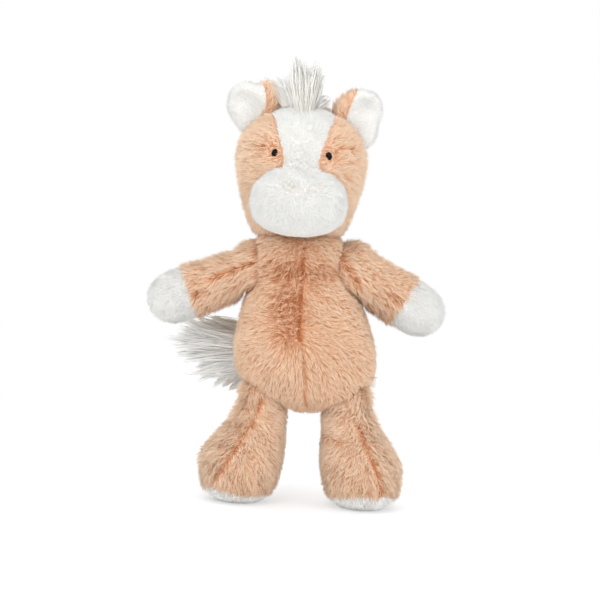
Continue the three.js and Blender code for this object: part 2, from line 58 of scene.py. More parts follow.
# A socket of a node tree that does sums when it is written in an expression
class Wire:
    def __init__(self, tree, socket=None):
        self.tree = tree
        self.socket = socket

    def node(self, kind, settings=None, inputs=None, output=0):
        made = self.tree.nodes.new(kind)
        for name, value in (settings or {}).items():
            setattr(made, name, value)
        for key, value in (inputs or {}).items():
            if isinstance(value, Wire):
                self.tree.links.new(value.socket, made.inputs[key])
            elif value is not None:
                made.inputs[key].default_value = value
        return Wire(self.tree, made.outputs[output] if len(made.outputs) else None)

    def other(self, output):
        return Wire(self.tree, self.socket.node.outputs[output])

    def sum(self, operation, *values):
        return self.node("ShaderNodeMath", {"operation": operation}, dict(enumerate(values)))

    def vector(self, operation, *values):
        output = "Value" if operation in ("LENGTH", "DOT_PRODUCT", "DISTANCE") else "Vector"
        inputs = {"Scale": values[-1]} if operation == "SCALE" else {}
        values = values[:-1] if operation == "SCALE" else values
        return self.node("ShaderNodeVectorMath", {"operation": operation},
                         {**dict(enumerate(values)), **inputs}, output)

    def plus(self, other):
        return self.vector("ADD", self, other)

    def minus(self, other):
        return self.vector("SUBTRACT", self, other)

    def scaled(self, share):
        return self.vector("SCALE", self, share)

    def __add__(self, other):
        return self.sum("ADD", self, other)

    def __radd__(self, other):
        return self.sum("ADD", other, self)

    def __sub__(self, other):
        return self.sum("SUBTRACT", self, other)

    def __rsub__(self, other):
        return self.sum("SUBTRACT", other, self)

    def __mul__(self, other):
        return self.sum("MULTIPLY", self, other)

    def __rmul__(self, other):
        return self.sum("MULTIPLY", other, self)

    def __truediv__(self, other):
        return self.sum("DIVIDE", self, other)

    def __rtruediv__(self, other):
        return self.sum("DIVIDE", other, self)

    def __pow__(self, other):
        return self.sum("POWER", self, other)

    def spread(self, low, high, newLow=0.0, newHigh=1.0):
        return self.node("ShaderNodeMapRange", {"interpolation_type": "SMOOTHSTEP"},
                         {0: self, 1: low, 2: high, 3: newLow, 4: newHigh})

    def blend(self, colourA, colourB):
        return self.node("ShaderNodeMix", {"data_type": "RGBA"}, {0: self, 6: colourA, 7: colourB}, 2)


def linear(red, green, blue):
    steps = [value / 255 for value in (red, green, blue)]
    return tuple(v / 12.92 if v <= 0.04045 else ((v + 0.055) / 1.055) ** 2.4 for v in steps) + (1.0,)


def newMaterial(name):
    material = bpy.data.materials.new(name)
    material.use_nodes = True
    material.node_tree.nodes.clear()
    return material, Wire(material.node_tree)


def surface(wire, inputs):
    shader = wire.node("ShaderNodeBsdfPrincipled", None, inputs)
    wire.node("ShaderNodeOutputMaterial", None, {"Surface": shader})


def attribute(wire, name):
    return wire.node("ShaderNodeAttribute", {"attribute_name": name}, None, "Fac")


def ownPlace(wire):
    return wire.node("ShaderNodeTexCoord", None, None, "Object")


def noise(wire, scale, detail, roughness=0.5):
    return wire.node("ShaderNodeTexNoise", {"noise_dimensions": "3D"},
                     {"Vector": ownPlace(wire), "Scale": scale, "Detail": detail, "Roughness": roughness})


def bumped(wire, height, strength, distance):
    return wire.node("ShaderNodeBump", None, {"Strength": strength, "Distance": distance, "Height": height})


# Pile colours of a strand from root to tip and of random patches, then painted shade in creases and deeper painted
# shade in gaps between clumps
pileColours = {
    "peach": {"strand": ((212, 150, 108), (238, 197, 163), (250, 225, 199)), "clumps": 0.5,
              "others": ((226, 174, 136), (200, 130, 86), (150, 84, 50))},
    "white": {"strand": ((230, 229, 225), (235, 235, 231), (239, 239, 236)), "clumps": 0.25,
              "others": ((231, 229, 224), (222, 217, 208), (210, 203, 192))},
    # the sole's pile is partly white fur and partly painted light, made lighter than the white pile for soles that
    # face the floor
    "sole": {"strand": ((246, 244, 239), (250, 249, 246), (252, 252, 250)), "clumps": 0.3,
             "others": ((246, 243, 236), (236, 229, 218), (226, 218, 206))},
    "hair": {"strand": ((238, 236, 230), (243, 242, 238), (246, 246, 244)), "clumps": 0.4,
             "others": ((234, 231, 224), (192, 182, 164), (170, 158, 138))},
}


def pileMaterial(name):
    colours = pileColours[name]
    root, middle, tip = (linear(*colour) for colour in colours["strand"])
    patch, shadeColour, deepShadeColour = (linear(*colour) for colour in colours["others"])
    material, wire = newMaterial(name + "Pile")
    rise, tone, depth = attribute(wire, "along"), attribute(wire, "tone"), attribute(wire, "shade")
    cloud = noise(wire, 45.0, 2.0, 0.6)
    low = rise.spread(0.0, 0.55).blend(root, middle)
    fibre = rise.spread(0.35, 1.0).blend(low, tip)
    clump = tone.spread(0.15, 0.85, 0.0, colours["clumps"]) * cloud.spread(0.3, 0.7, 0.5, 1.0)
    mottled = clump.blend(fibre, patch)
    # Painted shade: the shade attribute blends the strand towards the shade colour, and mostly at its roots
    # towards the deeper shade colour
    shaded = (depth.spread(0.0, 1.0) * (1.0 - rise * 0.2)).blend(mottled, shadeColour)
    gap = (depth.spread(0.6, 1.5, 0.0, 0.95) * (1.0 - rise * 0.75)).blend(shaded, deepShadeColour)
    surface(wire, {"Base Color": gap, "Roughness": 0.85, "Specular IOR Level": 0.15})
    return material


# Knitted backing under the pile, white where the pile above it is white, and darkened by painted shade where a
# shade colour is given
def backingMaterial(name, colour, other=None, deepShadeColour=None):
    material, wire = newMaterial(name)
    knit, cloud = noise(wire, 900.0, 3.0), noise(wire, 60.0, 2.0)
    base = attribute(wire, "whiteness").blend(colour, other) if other else colour
    darker = wire.node("ShaderNodeMix", {"data_type": "RGBA", "blend_type": "MULTIPLY"},
                       {0: 1.0, 6: base, 7: (0.8, 0.78, 0.76, 1.0)}, 2)
    mottled = (knit * 0.5 + cloud * 0.5).spread(0.3, 0.7).blend(darker, base)
    # painted shade between the roots, following the form's shade attribute
    if deepShadeColour:
        mottled = attribute(wire, "shade").spread(0.1, 1.2, 0.0, 0.9).blend(mottled, deepShadeColour)
    surface(wire, {"Base Color": mottled, "Roughness": 0.95, "Specular IOR Level": 0.1,
                   "Normal": bumped(wire, knit, 0.6, 0.4 * mm)})
    return material


def beadMaterial():
    material, wire = newMaterial("blackBead")
    dust = noise(wire, 1500.0, 2.0)
    base = dust.spread(0.3, 0.8).blend(linear(5, 4, 4), linear(14, 12, 12))
    surface(wire, {"Base Color": base, "Roughness": dust.spread(0.45, 0.75, 0.12, 0.2),
                   "Specular IOR Level": 0.13})
    return material


def plasticMaterial():
    material, wire = newMaterial("washerPlastic")
    grain = noise(wire, 1200.0, 3.0)
    base = grain.blend(linear(225, 223, 216), linear(240, 239, 234))
    surface(wire, {"Base Color": base, "Roughness": grain.spread(0.2, 0.8, 0.45, 0.6),
                   "Normal": bumped(wire, grain, 0.2, 0.1 * mm)})
    return material


def tapeMaterial():
    material, wire = newMaterial("labelTape")
    weave, warp = (wire.node("ShaderNodeTexWave", {"bands_direction": way},
                             {"Vector": ownPlace(wire), "Scale": 900.0}) for way in ("Z", "X"))
    height = weave * 0.5 + warp * 0.5
    base = height.blend(linear(224, 223, 219), linear(247, 247, 245))
    surface(wire, {"Base Color": base, "Roughness": 0.7, "Normal": bumped(wire, height, 0.4, 0.1 * mm)})
    return material


peachPile, whitePile, solePile, hairPile = (pileMaterial(name) for name in pileColours)
# the cover backing's last colour is the painted shade of its roots
coverBacking = backingMaterial("coverBacking", linear(222, 166, 128), linear(240, 237, 232),
                               linear(150, 84, 50))
beanCloth = backingMaterial("beanCloth", linear(203, 194, 178))
threadLook = backingMaterial("sewingThread", linear(214, 166, 130))
blackBead, washerPlastic, labelTape = beadMaterial(), plasticMaterial(), tapeMaterial()
print("materials made")


def linked(name, data):
    piece = bpy.data.objects.new(name, data)
    bpy.context.scene.collection.objects.link(piece)
    return piece


def newPiece(name, vertices, faces, material):
    mesh = bpy.data.meshes.new(name)
    mesh.from_pydata([tuple(v) for v in vertices], [], [tuple(f) for f in faces])
    mesh.validate()
    mesh.update()
    mesh.materials.append(material)
    return linked(name, mesh)


def plainMesh(piece, name):
    graph = bpy.context.evaluated_depsgraph_get()
    mesh = bpy.data.meshes.new_from_object(piece.evaluated_get(graph))
    mesh.name = name
    return mesh


def unit(vectors):
    return vectors / np.maximum(np.linalg.norm(vectors, axis=-1, keepdims=True), 1e-9)


def along(vectors, normals):
    return vectors - normals * np.sum(vectors * normals, axis=1, keepdims=True)


def ease(values, low, high):
    share = np.clip((values - low) / (high - low), 0, 1)
    return share * share * (3 - 2 * share)


def centreOf(node):
    low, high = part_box(node)
    return np.array((low + high) / 2)


def rows(source, field):
    values = np.empty(len(source) * 3, np.float32)
    source.foreach_get(field, values)
    return values.reshape(-1, 3)


def places(mesh):
    return rows(mesh.vertices, "co")


def normalsOf(mesh):
    return rows(mesh.vertex_normals, "vector")


def nodeArrays(nodes):
    points, faces, count = [], [], 0
    for name in nodes:
        mesh = frame["nodes"][name].data
        points.append(places(mesh))
        faces += [[v + count for v in face.vertices] for face in mesh.polygons]
        count += len(mesh.vertices)
    return np.concatenate(points), faces


# Places on the toy by their pixel in the photograph, which is 405 mm across and rolled a little
cameraSettings = {"lens": 130.0, "sensor": 36.0, "elevation": 4.5, "distance": 1.4625,
                  "clip": (0.05, 20.0)}
photo = {"neck": (298.2, 264.3), "scale": 0.675 * mm, "roll": 3.5, "centre": (300, 300)}
neck = np.array(joints["neck_nod"]["pos_m"])


def fromPhoto(pixel, behind=0.0):
    spread = 1 + behind / cameraSettings["distance"]
    across = (pixel[0] - photo["centre"][0]) * spread + photo["centre"][0] - photo["neck"][0]
    up = photo["neck"][1] - photo["centre"][1] - (pixel[1] - photo["centre"][1]) * spread
    c, s = math.cos(math.radians(photo["roll"])), math.sin(math.radians(photo["roll"]))
    return np.array([neck[0] + photo["scale"] * (c * across - s * up),
                     neck[2] + photo["scale"] * (s * across + c * up)])


# Soft balls that fill an ear out towards cheek and crown, and a shoulder: pixel, radii and lean
fullness = {
    "ear_left_form": [((364, 131), (8.5, 5.0, 13.5), 10), ((346, 114), (8.5, 4.5, 10.5), 25)],
    "ear_right_form": [((246, 118), (7.0, 5.0, 11.5), -12), ((268, 99), (9.5, 4.5, 11.0), -25)],
    "arm_left_form": [((357, 260), (13.0, 12.0, 9.5), 30)],
}
formSettings = {"voxel": 2.0 * mm, "smoothing": 14, "swell": 0.5 * mm}


# Joins solids into one closed skin and smooths it
def remeshed(name, points, faces, material, settings):
    rough = newPiece(name + "Rough", points, faces, material)
    remesh = rough.modifiers.new("remesh", "REMESH")
    remesh.mode = "VOXEL"
    remesh.voxel_size = settings["voxel"]
    smooth = rough.modifiers.new("smooth", "SMOOTH")
    smooth.factor = 0.5
    smooth.iterations = settings["smoothing"]
    mesh = plainMesh(rough, name)
    bpy.data.objects.remove(rough)
    return mesh


def shadeSmooth(mesh):
    for face in mesh.polygons:
        face.use_smooth = True


# A body's covers and stuffing as one skin, swollen a little
def makeForm(name, nodes):
    points, faces = nodeArrays(nodes)
    for middle, radii, lean in fullness.get(name, []):
        points, faces = withBall(points, faces, middle, radii, lean)
    mesh = remeshed(name, points, faces, coverBacking, formSettings)
    edit = bmesh.new()
    edit.from_mesh(mesh)
    keepLargest(edit)
    for vertex, normal in [(v, v.normal.copy()) for v in edit.verts]:
        vertex.co += normal * formSettings["swell"]
    edit.to_mesh(mesh)
    edit.free()
    shadeSmooth(mesh)
    return linked(name, mesh)


def withBall(points, faces, pixel, radii, lean):
    edit = bmesh.new()
    bmesh.ops.create_uvsphere(edit, u_segments=20, v_segments=12, radius=mm)
    x, z = fromPhoto(pixel)
    place = Matrix.Translation((x, points[:, 1].mean(), z)) @ Matrix.Rotation(math.radians(lean), 4, "Y")
    bmesh.ops.transform(edit, matrix=place @ Matrix.Diagonal((*radii, 1)), verts=edit.verts)
    more = np.array([v.co for v in edit.verts])
    moreFaces = [tuple(v.index + len(points) for v in f.verts) for f in edit.faces]
    edit.free()
    return np.concatenate([points, more]), list(faces) + moreFaces


# Fills the valley where two panels of one form meet, so that the pile runs on across it
def fillValley(form, nodeA, nodeB, reach, rounds):
    mesh = form.data
    spots = places(mesh).astype(float)
    treeA, treeB = treeOf(*nodeArrays([nodeA])), treeOf(*nodeArrays([nodeB]))
    far = np.array([max(treeA.find_nearest(p)[3], treeB.find_nearest(p)[3]) for p in spots])
    weight = (1 - ease(far, 0.5 * reach, reach))[:, None]
    pairs = np.empty(len(mesh.edges) * 2, np.int32)
    mesh.edges.foreach_get("vertices", pairs)
    pairs = np.concatenate([pairs.reshape(-1, 2), pairs.reshape(-1, 2)[:, ::-1]])
    degree = np.bincount(pairs[:, 0], minlength=len(spots))[:, None]
    normals = normalsOf(mesh).astype(float)
    for _ in range(rounds):
        total = np.zeros_like(spots)
        np.add.at(total, pairs[:, 0], spots[pairs[:, 1]])
        step = total / degree - spots
        step *= (np.sum(step * normals, axis=1, keepdims=True) > 0) * weight
        spots += step
    mesh.vertices.foreach_set("co", spots.astype(np.float32).ravel())
    mesh.update()


def keepLargest(edit):
    seen, groups = set(), []
    for start in edit.verts:
        if start in seen:
            continue
        group, waiting = [], [start]
        seen.add(start)
        while waiting:
            vertex = waiting.pop()
            group.append(vertex)
            for edge in vertex.link_edges:
                near = edge.other_vert(vertex)
                if near not in seen:
                    seen.add(near)
                    waiting.append(near)
        groups.append(group)
    groups.sort(key=len)
    for group in groups[:-1]:
        bmesh.ops.delete(edit, geom=group, context="VERTS")


def treeOf(points, faces):
    return BVHTree.FromPolygons([tuple(p) for p in points], faces)


# Forms: the closed surface that the pile grows from, one for each moving body
furBodies = ["torso", "head", "arm_left", "arm_right", "leg_left", "leg_right", "ear_left", "ear_right"]
notSkin = ("eye_", "forelock", "mane", "seam_label")
skinNodes = {body: [n for n in bodyNodes[body] if not n.startswith(notSkin)] for body in furBodies}
fillNodes = {body: [n for n in skinNodes[body] if "stuffing" in n or n == "bean_bag"] for body in furBodies}
panels = {body: [n for n in skinNodes[body] if n not in fillNodes[body]] for body in furBodies}
forms = {body: makeForm(body + "_form", skinNodes[body]) for body in furBodies}
fillValley(forms["head"], "blaze", "muzzle", 12 * mm, 60)
for side in ("left", "right"):
    fillValley(forms["ear_" + side], "ear_lining_" + side, "ear_back_" + side, 14 * mm, 40)
formTrees = {body: treeOf(places(form.data), [tuple(f.vertices) for f in form.data.polygons])
             for body, form in forms.items()}
panelTrees = {node: treeOf(*nodeArrays([node])) for body in furBodies for node in panels[body]}
print("forms:", {body: len(form.data.vertices) for body, form in forms.items()})


# Folds and partings of the pile as pixels of the photograph, with how wide (mm) and how deep each is, in painted
# shade and parting
creases = {
    "torso": [
        ([(303.6, 246), (302.4, 285)], 0.9, 1.2), ([(302.4, 285), (301, 310), (300, 337)], 1.0, 1.9),
        ([(300.5, 338), (304, 352), (306, 402)], 0.9, 0.6),
        ([(268, 288), (283, 300), (296, 306)], 1.2, 0.3), ([(270, 316), (285, 326), (298, 332)], 1.2, 0.3),
        ([(276, 340), (288, 346), (300, 344)], 1.2, 0.3), ([(312, 286), (324, 296), (338, 300)], 1.6, 0.25),
        ([(286, 336), (280, 356), (268, 372)], 1.5, 0.2), ([(310, 338), (320, 356), (326, 378)], 1.5, 0.2),
    ],
    "arm_right": [
        ([(255, 261), (232, 270), (211, 278)], 1.2, 1.2), ([(211, 290), (195, 292)], 1.2, 1.0),
        ([(246, 280), (228, 290)], 1.5, 0.3), ([(146, 306), (162, 302)], 1.2, 1.3),
    ],
    "arm_left": [
        ([(341, 254), (347, 268), (356, 282)], 1.4, 1.1), ([(388, 291), (397, 299), (406, 302)], 1.2, 1.1),
        ([(372, 292), (390, 306)], 1.5, 0.3),
    ],
    "leg_right": [
        ([(262, 396), (256, 416), (243, 434), (229, 456), (219, 470)], 1.3, 0.8),
        ([(236, 436), (248, 430), (258, 420)], 1.5, 0.3),
    ],
    "leg_left": [
        ([(323, 434), (334, 438), (342, 439)], 1.6, 0.55),
        ([(358, 422), (364, 440), (374, 462), (379, 482), (381, 498)], 1.3, 0.9),
        ([(366, 462), (370, 478), (368, 492)], 1.4, 0.35),
    ],
    "head": [
        ([(270, 150), (262, 146), (251, 150)], 1.2, 0.7), ([(269, 155), (258, 157), (248, 163)], 1.2, 0.35),
        ([(276, 146), (268, 138), (257, 135)], 1.2, 0.3), ([(266, 161), (256, 168), (246, 175)], 1.3, 0.25),
        ([(332, 153), (342, 148), (351, 151)], 1.2, 0.7), ([(333, 158), (344, 162), (354, 161)], 1.2, 0.35),
        ([(326, 148), (334, 139), (344, 137)], 1.2, 0.3), ([(322, 163), (334, 168), (346, 178)], 1.3, 0.25),
    ],
}


# How much painted shade the folds put on each point, and which way the pile parts from them
def creaseOf(body, points, normals):
    flat, foldShade, parting = points[:, [0, 2]], np.zeros(len(points)), np.zeros(points.shape)
    for pixels, width, depth in creases.get(body, []):
        reach = width * mm
        corners = [fromPhoto(pixel) for pixel in pixels]
        nearest, aside = np.full(len(points), 1.0), np.zeros((len(points), 2))
        for start, end in zip(corners, corners[1:]):
            way = end - start
            share = np.clip((flat - start) @ way / (way @ way), 0, 1)[:, None]
            offset = flat - start - share * way
            far = np.linalg.norm(offset, axis=1)
            aside[far < nearest] = offset[far < nearest]
            nearest = np.minimum(nearest, far)
        foldShade = np.maximum(foldShade, depth * (1 - ease(nearest, 0, 2 * reach)))
        strength = min(depth, 1.0) * (1 - ease(nearest, 0.5 * reach, 3 * reach))
        parting[:, [0, 2]] += strength[:, None] * unit(aside)
    facing = ease(-normals[:, 1], -0.2, 0.3)
    return foldShade * facing, along(parting * facing[:, None], normals)


# The way the pile lies: a vector for each point of a form, whose length is how far it leans
shoulders = {side: np.array(joints["shoulder_" + side]["pos_m"]) for side in ("left", "right")}
whorlX, whorlZ = fromPhoto((293, 335))
whorl = np.array([whorlX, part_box("torso_front_left")[0].y, whorlZ])
snoutX, snoutZ = fromPhoto((298, 190))
# From where to where the lie changes on the torso, and how wide it fans out from its middle and the snout
lieSettings = {"front": (-8 * mm, 12 * mm), "chest": (118 * mm, 138 * mm), "whorl": (1 * mm, 11 * mm),
               "middle": 12 * mm, "snout": 22 * mm}
swaySettings = {"waves": [[310.0], [270.0], [230.0]], "strength": 0.3}
ruffleSettings = {"pixel": (288, 308), "across": 1.25, "up": 0.62, "full": 6 * mm, "end": 22 * mm,
                  "waves": [[1900.0, 1100.0, 900.0], [800.0, 2100.0, 1300.0], [1200.0, 700.0, 1800.0]],
                  "strength": 0.7, "gather": 0.5}


# The patch of the belly where the pile is ruffled up
def ruffledAt(points):
    x, z = fromPhoto(ruffleSettings["pixel"])
    far = np.hypot((points[:, 0] - x) * ruffleSettings["across"], (points[:, 2] - z) * ruffleSettings["up"])
    return (1 - ease(far, ruffleSettings["full"], ruffleSettings["end"])) * (points[:, 1] < 0)


# Waves that bend the lie along the skin
def swayed(settings, points, normals):
    waves = np.sin(points @ np.array(settings["waves"]) + np.array([0.0, 2.1, 4.2]))
    return settings["strength"] * along(waves, normals)


def lieOf(body, points, normals):
    side = body[4:]  # of an arm, a leg or an ear
    x, y, z = points.T
    level, down = np.zeros(len(points)), np.array([0.0, 0.0, -1.0])
    if body == "torso":
        front = ease(-y, *lieSettings["front"])[:, None]
        above = ease(z, *lieSettings["chest"])[:, None]
        belly = unit(points - whorl) + 0.5 * down
        outward = np.stack([np.tanh((x - neck[0]) / lieSettings["middle"]), level, level - 0.6], 1)
        way = front * (belly * (1 - above) + above * outward) + (1 - front) * down
    elif body == "head":
        fromSnout = np.tanh(np.stack([x - snoutX, level, z - snoutZ], 1) / lieSettings["snout"])
        way = 0.8 * fromSnout + np.array([0, 0.4, -0.7])
    elif body.startswith("arm"):
        way = unit(centreOf("hoof_" + side) - shoulders[side]) + 0.35 * down
    elif body.startswith("leg"):
        seam = centreOf("leg_outer_" + side)
        way = 0.8 * down + 0.7 * unit(np.stack([x - seam[0], y - seam[1], level], 1))
    else:
        way = unit(points - np.array(joints["ear_fold_" + side]["pos_m"]))
    lie = along(np.broadcast_to(way, points.shape).astype(float), normals)
    if body == "torso":
        fromWhorl = np.linalg.norm(points - whorl, axis=1)
        lie *= (0.25 + 0.75 * ease(fromWhorl, *lieSettings["whorl"]))[:, None]
    lie += swayed(swaySettings, points, normals)
    if body == "torso":
        lie += ruffledAt(points)[:, None] * swayed(ruffleSettings, points, normals)
    return lie


pileSettings = {
    "strandLength": 4.9 * mm, "strandWidth": 0.61 * mm, "perSquareMetre": 1.62e6, "backShare": 0.78,
    "clumpSize": 2.0 * mm, "clumpPull": 0.55, "lean": 0.6, "bend": 0.4, "jitter": 0.24, "tuftSway": 0.9,
    "length": 1.0, "sizes": (0.72, 1.12), "tones": (0.45, 0.55), "seamReach": 1.6 * mm, "softness": 0.75,
    "floor": 0.15 * mm, "parting": 1.3,
}
# The torso's pile is brushed up and sewn otherwise than the rest
ownPile = {"torso": {"jitter": 0.36, "length": 0.86, "seamReach": 0.9 * mm}}
quickShare = {"strands": 1.0, "width": 1.0}
earSettings = {"border": {"left": ((357, 93), (351, 104), (346, 118), (347, 134)),
                          "right": ((258, 78), (266, 92), (267, 106), (258, 124))},
               "turnBack": 0.3, "rimWidth": 8 * mm, "pile": 0.7, "innerPile": 1.3}
# How far on from its root colour a strand of each body starts, which on the legs is partly painted light
paleness = {"head": 0.45, "ear_left": 0.45, "ear_right": 0.45, "leg_left": 0.35, "leg_right": 0.35,
            "arm_left": 0.12, "arm_right": 0.12}
eyeGap = {"across": 1.9 * mm, "along": 2.7 * mm, "tilt": 24.0}


def setField(mesh, name, values, kind="FLOAT"):
    layer = mesh.attributes.get(name) or mesh.attributes.new(name, kind, "POINT")
    field = "value" if kind == "FLOAT" else "vector"
    layer.data.foreach_set(field, np.ascontiguousarray(values, np.float32).ravel())


# How far outwards a point lies from the line where the ear's white lining meets its peach side
def earAcross(side, points):
    line = np.array([fromPhoto(pixel) for pixel in reversed(earSettings["border"][side])])
    border = np.interp(points[:, 2], line[:, 1], line[:, 0])
    return (points[:, 0] - border) * (1 if side == "left" else -1)


toeCap = {"lift": 4.5 * mm, "facing": (-0.3, 0.5), "aside": (24 * mm, 48 * mm)}  # white that runs up a toe


# How far inside a panel's own ground each point lies, which is below zero on another panel's ground
def groundOf(body, points, normals):
    gaps = {node: np.array([panelTrees[node].find_nearest(p)[3] for p in points]) for node in panels[body]}
    if body.startswith("leg"):
        aside = np.abs(points[:, 0] - neck[0])
        toe = ease(-normals[:, 1], *toeCap["facing"]) * ease(aside, *toeCap["aside"])
        gaps["sole_" + body[4:]] -= toeCap["lift"] * toe
    ground = {}
    for node, gap in gaps.items():
        others = [far for other, far in gaps.items() if other != node]
        ground[node] = np.min(others, axis=0) - gap
    if body.startswith("ear"):
        side = body[4:]
        facing = normals @ unit(centreOf("ear_lining_" + side) - centreOf("ear_back_" + side))
        turned = (facing + earSettings["turnBack"]) * earSettings["rimWidth"]
        white = np.minimum(earAcross(side, points), turned)
        ground = {"ear_lining_" + side: white, "ear_back_" + side: -white}
    return ground


def isWhite(node):
    return node.startswith(("hoof", "blaze", "muzzle", "ear_lining", "sole"))


meeting = {"reach": 12 * mm, "inside": 1.5 * mm}


# How near other bodies come to each point, and which points lie inside one of them
def nearOthers(body, points):
    crease, hidden = np.full(len(points), 1.0), np.zeros(len(points))
    for other, tree in formTrees.items():
        if other == body:
            continue
        for i, point in enumerate(points):
            spot, normal, _, far = tree.find_nearest(point, meeting["reach"])
            if spot is None:
                continue
            if (Vector(point) - spot).dot(normal) < -meeting["inside"]:
                hidden[i] = 1
            crease[i] = min(crease[i], far)
    return crease, hidden


# How deep in shade the roots lie at these places, and how much shorter the pile is there
shadeAt = {"joint": 0.55, "eye": 0.45, "ruffle": 0.78, "chest": 0.74, "underArm": 0.45}
shorterAt = {"joint": 0.5, "fold": 0.35, "eye": 0.58, "chin": 0.65, "ruffle": 0.28, "floor": 0.75,
             "inside": 0.25}
paleShare = 0.7  # of the shade that is missing on white pile
# From where to where each change goes: heights above the floor, and distances
spans = {
    "whiteEdge": (-1 * mm, 1 * mm), "joint": (0.5 * mm, 6 * mm), "chestLow": (142 * mm, 158 * mm),
    "chestHigh": (160 * mm, 172 * mm), "chestSide": (16 * mm, 30 * mm), "eyePile": (4 * mm, 11 * mm),
    "eyeShade": (4 * mm, 9 * mm), "chin": (0, 14 * mm), "floor": (0.5 * mm, 9 * mm), "inside": (-20 * mm, 0),
    "outside": (8 * mm, 22 * mm), "calf": (18 * mm, 34 * mm), "innerEar": (-9 * mm, -3 * mm),
}


# Sets where strands grow, how long they are and how deep in shade their roots lie
def dressForm(body):
    mesh = forms[body].data
    points, normals = places(mesh), normalsOf(mesh)
    height, aside = points[:, 2], np.abs(points[:, 0] - neck[0])
    ground = groundOf(body, points, normals)
    whites = [far for node, far in ground.items() if isWhite(node)] or [np.full(len(points), -1.0)]
    whiteness = ease(np.max(whites, axis=0), *spans["whiteEdge"])
    crease, hidden = nearOthers(body, points)
    closed = 1 - ease(crease, *spans["joint"])
    folds, parting = creaseOf(body, points, normals)
    shade = np.maximum(closed * shadeAt["joint"], folds) * (1 - paleShare * whiteness)
    length = (1 - shorterAt["joint"] * closed) * (1 - shorterAt["fold"] * folds)
    ruffled = ruffledAt(points) * (body == "torso")
    if body == "torso":
        chest = ease(height, *spans["chestLow"]) * (1 - 0.9 * ease(height, *spans["chestHigh"]))
        chest *= ease(-normals[:, 1], 0.0, 0.6) * (1 - ease(aside, *spans["chestSide"]))
        shade = np.maximum(shade, np.maximum(shadeAt["ruffle"] * ruffled, shadeAt["chest"] * chest))
        length *= 1 - shorterAt["ruffle"] * ruffled
    elif body == "head":
        for side, way in (("left", 1), ("right", -1)):
            offset = points - centreOf("eye_" + side)
            far = np.linalg.norm(offset, axis=1)
            tilt = math.radians(eyeGap["tilt"]) * -way
            across = offset[:, 0] * math.cos(tilt) - offset[:, 2] * math.sin(tilt)
            up = offset[:, 0] * math.sin(tilt) + offset[:, 2] * math.cos(tilt)
            ring = np.hypot(across / eyeGap["across"], up / eyeGap["along"])
            hidden[(ring < 1) & (points[:, 1] < 0)] = 1
            length *= 1 - shorterAt["eye"] * (1 - ease(far, *spans["eyePile"]))
            socket = shadeAt["eye"] * (1 - ease(far, *spans["eyeShade"]))
            shade = np.maximum(shade, socket * (1 - whiteness))
        chin = ease(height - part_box("muzzle")[0].z, *spans["chin"])
        length *= 1 - shorterAt["chin"] * whiteness * (1 - chin)
    elif body.startswith("arm"):
        under = shadeAt["underArm"] * ease(-normals[:, 2], 0.25, 0.95)
        shade = np.maximum(shade, under * (1 - whiteness))
    elif body.startswith("leg"):
        outward = (points[:, 0] - centreOf("sole_" + body[4:])[0]) * (1 if body == "leg_left" else -1)
        length *= 1 - shorterAt["floor"] * (1 - ease(height, *spans["floor"]))
        length *= 1 - shorterAt["inside"] * (1 - ease(outward, *spans["inside"]))
        if body == "leg_right":  # its outer side is fuller
            length *= 1 + 0.5 * ease(outward, *spans["outside"]) * ease(height, *spans["calf"])
    else:
        inner = 1 - ease(earAcross(body[4:], points), *spans["innerEar"])
        length *= earSettings["pile"] * (1 + (earSettings["innerPile"] - 1) * inner)
    setField(mesh, "lie", lieOf(body, points, normals) + pileSettings["parting"] * parting, "FLOAT_VECTOR")
    setField(mesh, "length", length)
    # crease and shade both hold the painted shade: the pile reads the first, the backing the second
    setField(mesh, "crease", shade)
    setField(mesh, "thick", 1 - (1 - pileSettings["backShare"]) * ease(normals[:, 1], 0.2, 0.6))
    setField(mesh, "gather", 1 - ruffleSettings["gather"] * ruffled)
    setField(mesh, "shade", shade)
    setField(mesh, "hidden", hidden)
    setField(mesh, "whiteness", whiteness)
    return ground


# A tree with named inputs, ready to be filled, and those inputs by name
def newTree(name, inputs):
    tree = bpy.data.node_groups.new(name, "GeometryNodeTree")
    tree.is_modifier = True
    for label, kind in inputs:
        tree.interface.new_socket(label, in_out="INPUT", socket_type="NodeSocket" + kind)
    tree.interface.new_socket("Strands", in_out="OUTPUT", socket_type="NodeSocketGeometry")
    wire = Wire(tree)
    given = wire.node("NodeGroupInput")
    return tree, wire, {label: given.other(label) for label, _ in inputs}


def stored(wire, geometry, name, what, kind="FLOAT"):
    return wire.node("GeometryNodeStoreNamedAttribute", {"data_type": kind, "domain": "POINT"},
                     {"Geometry": geometry, "Name": name, "Value": what})


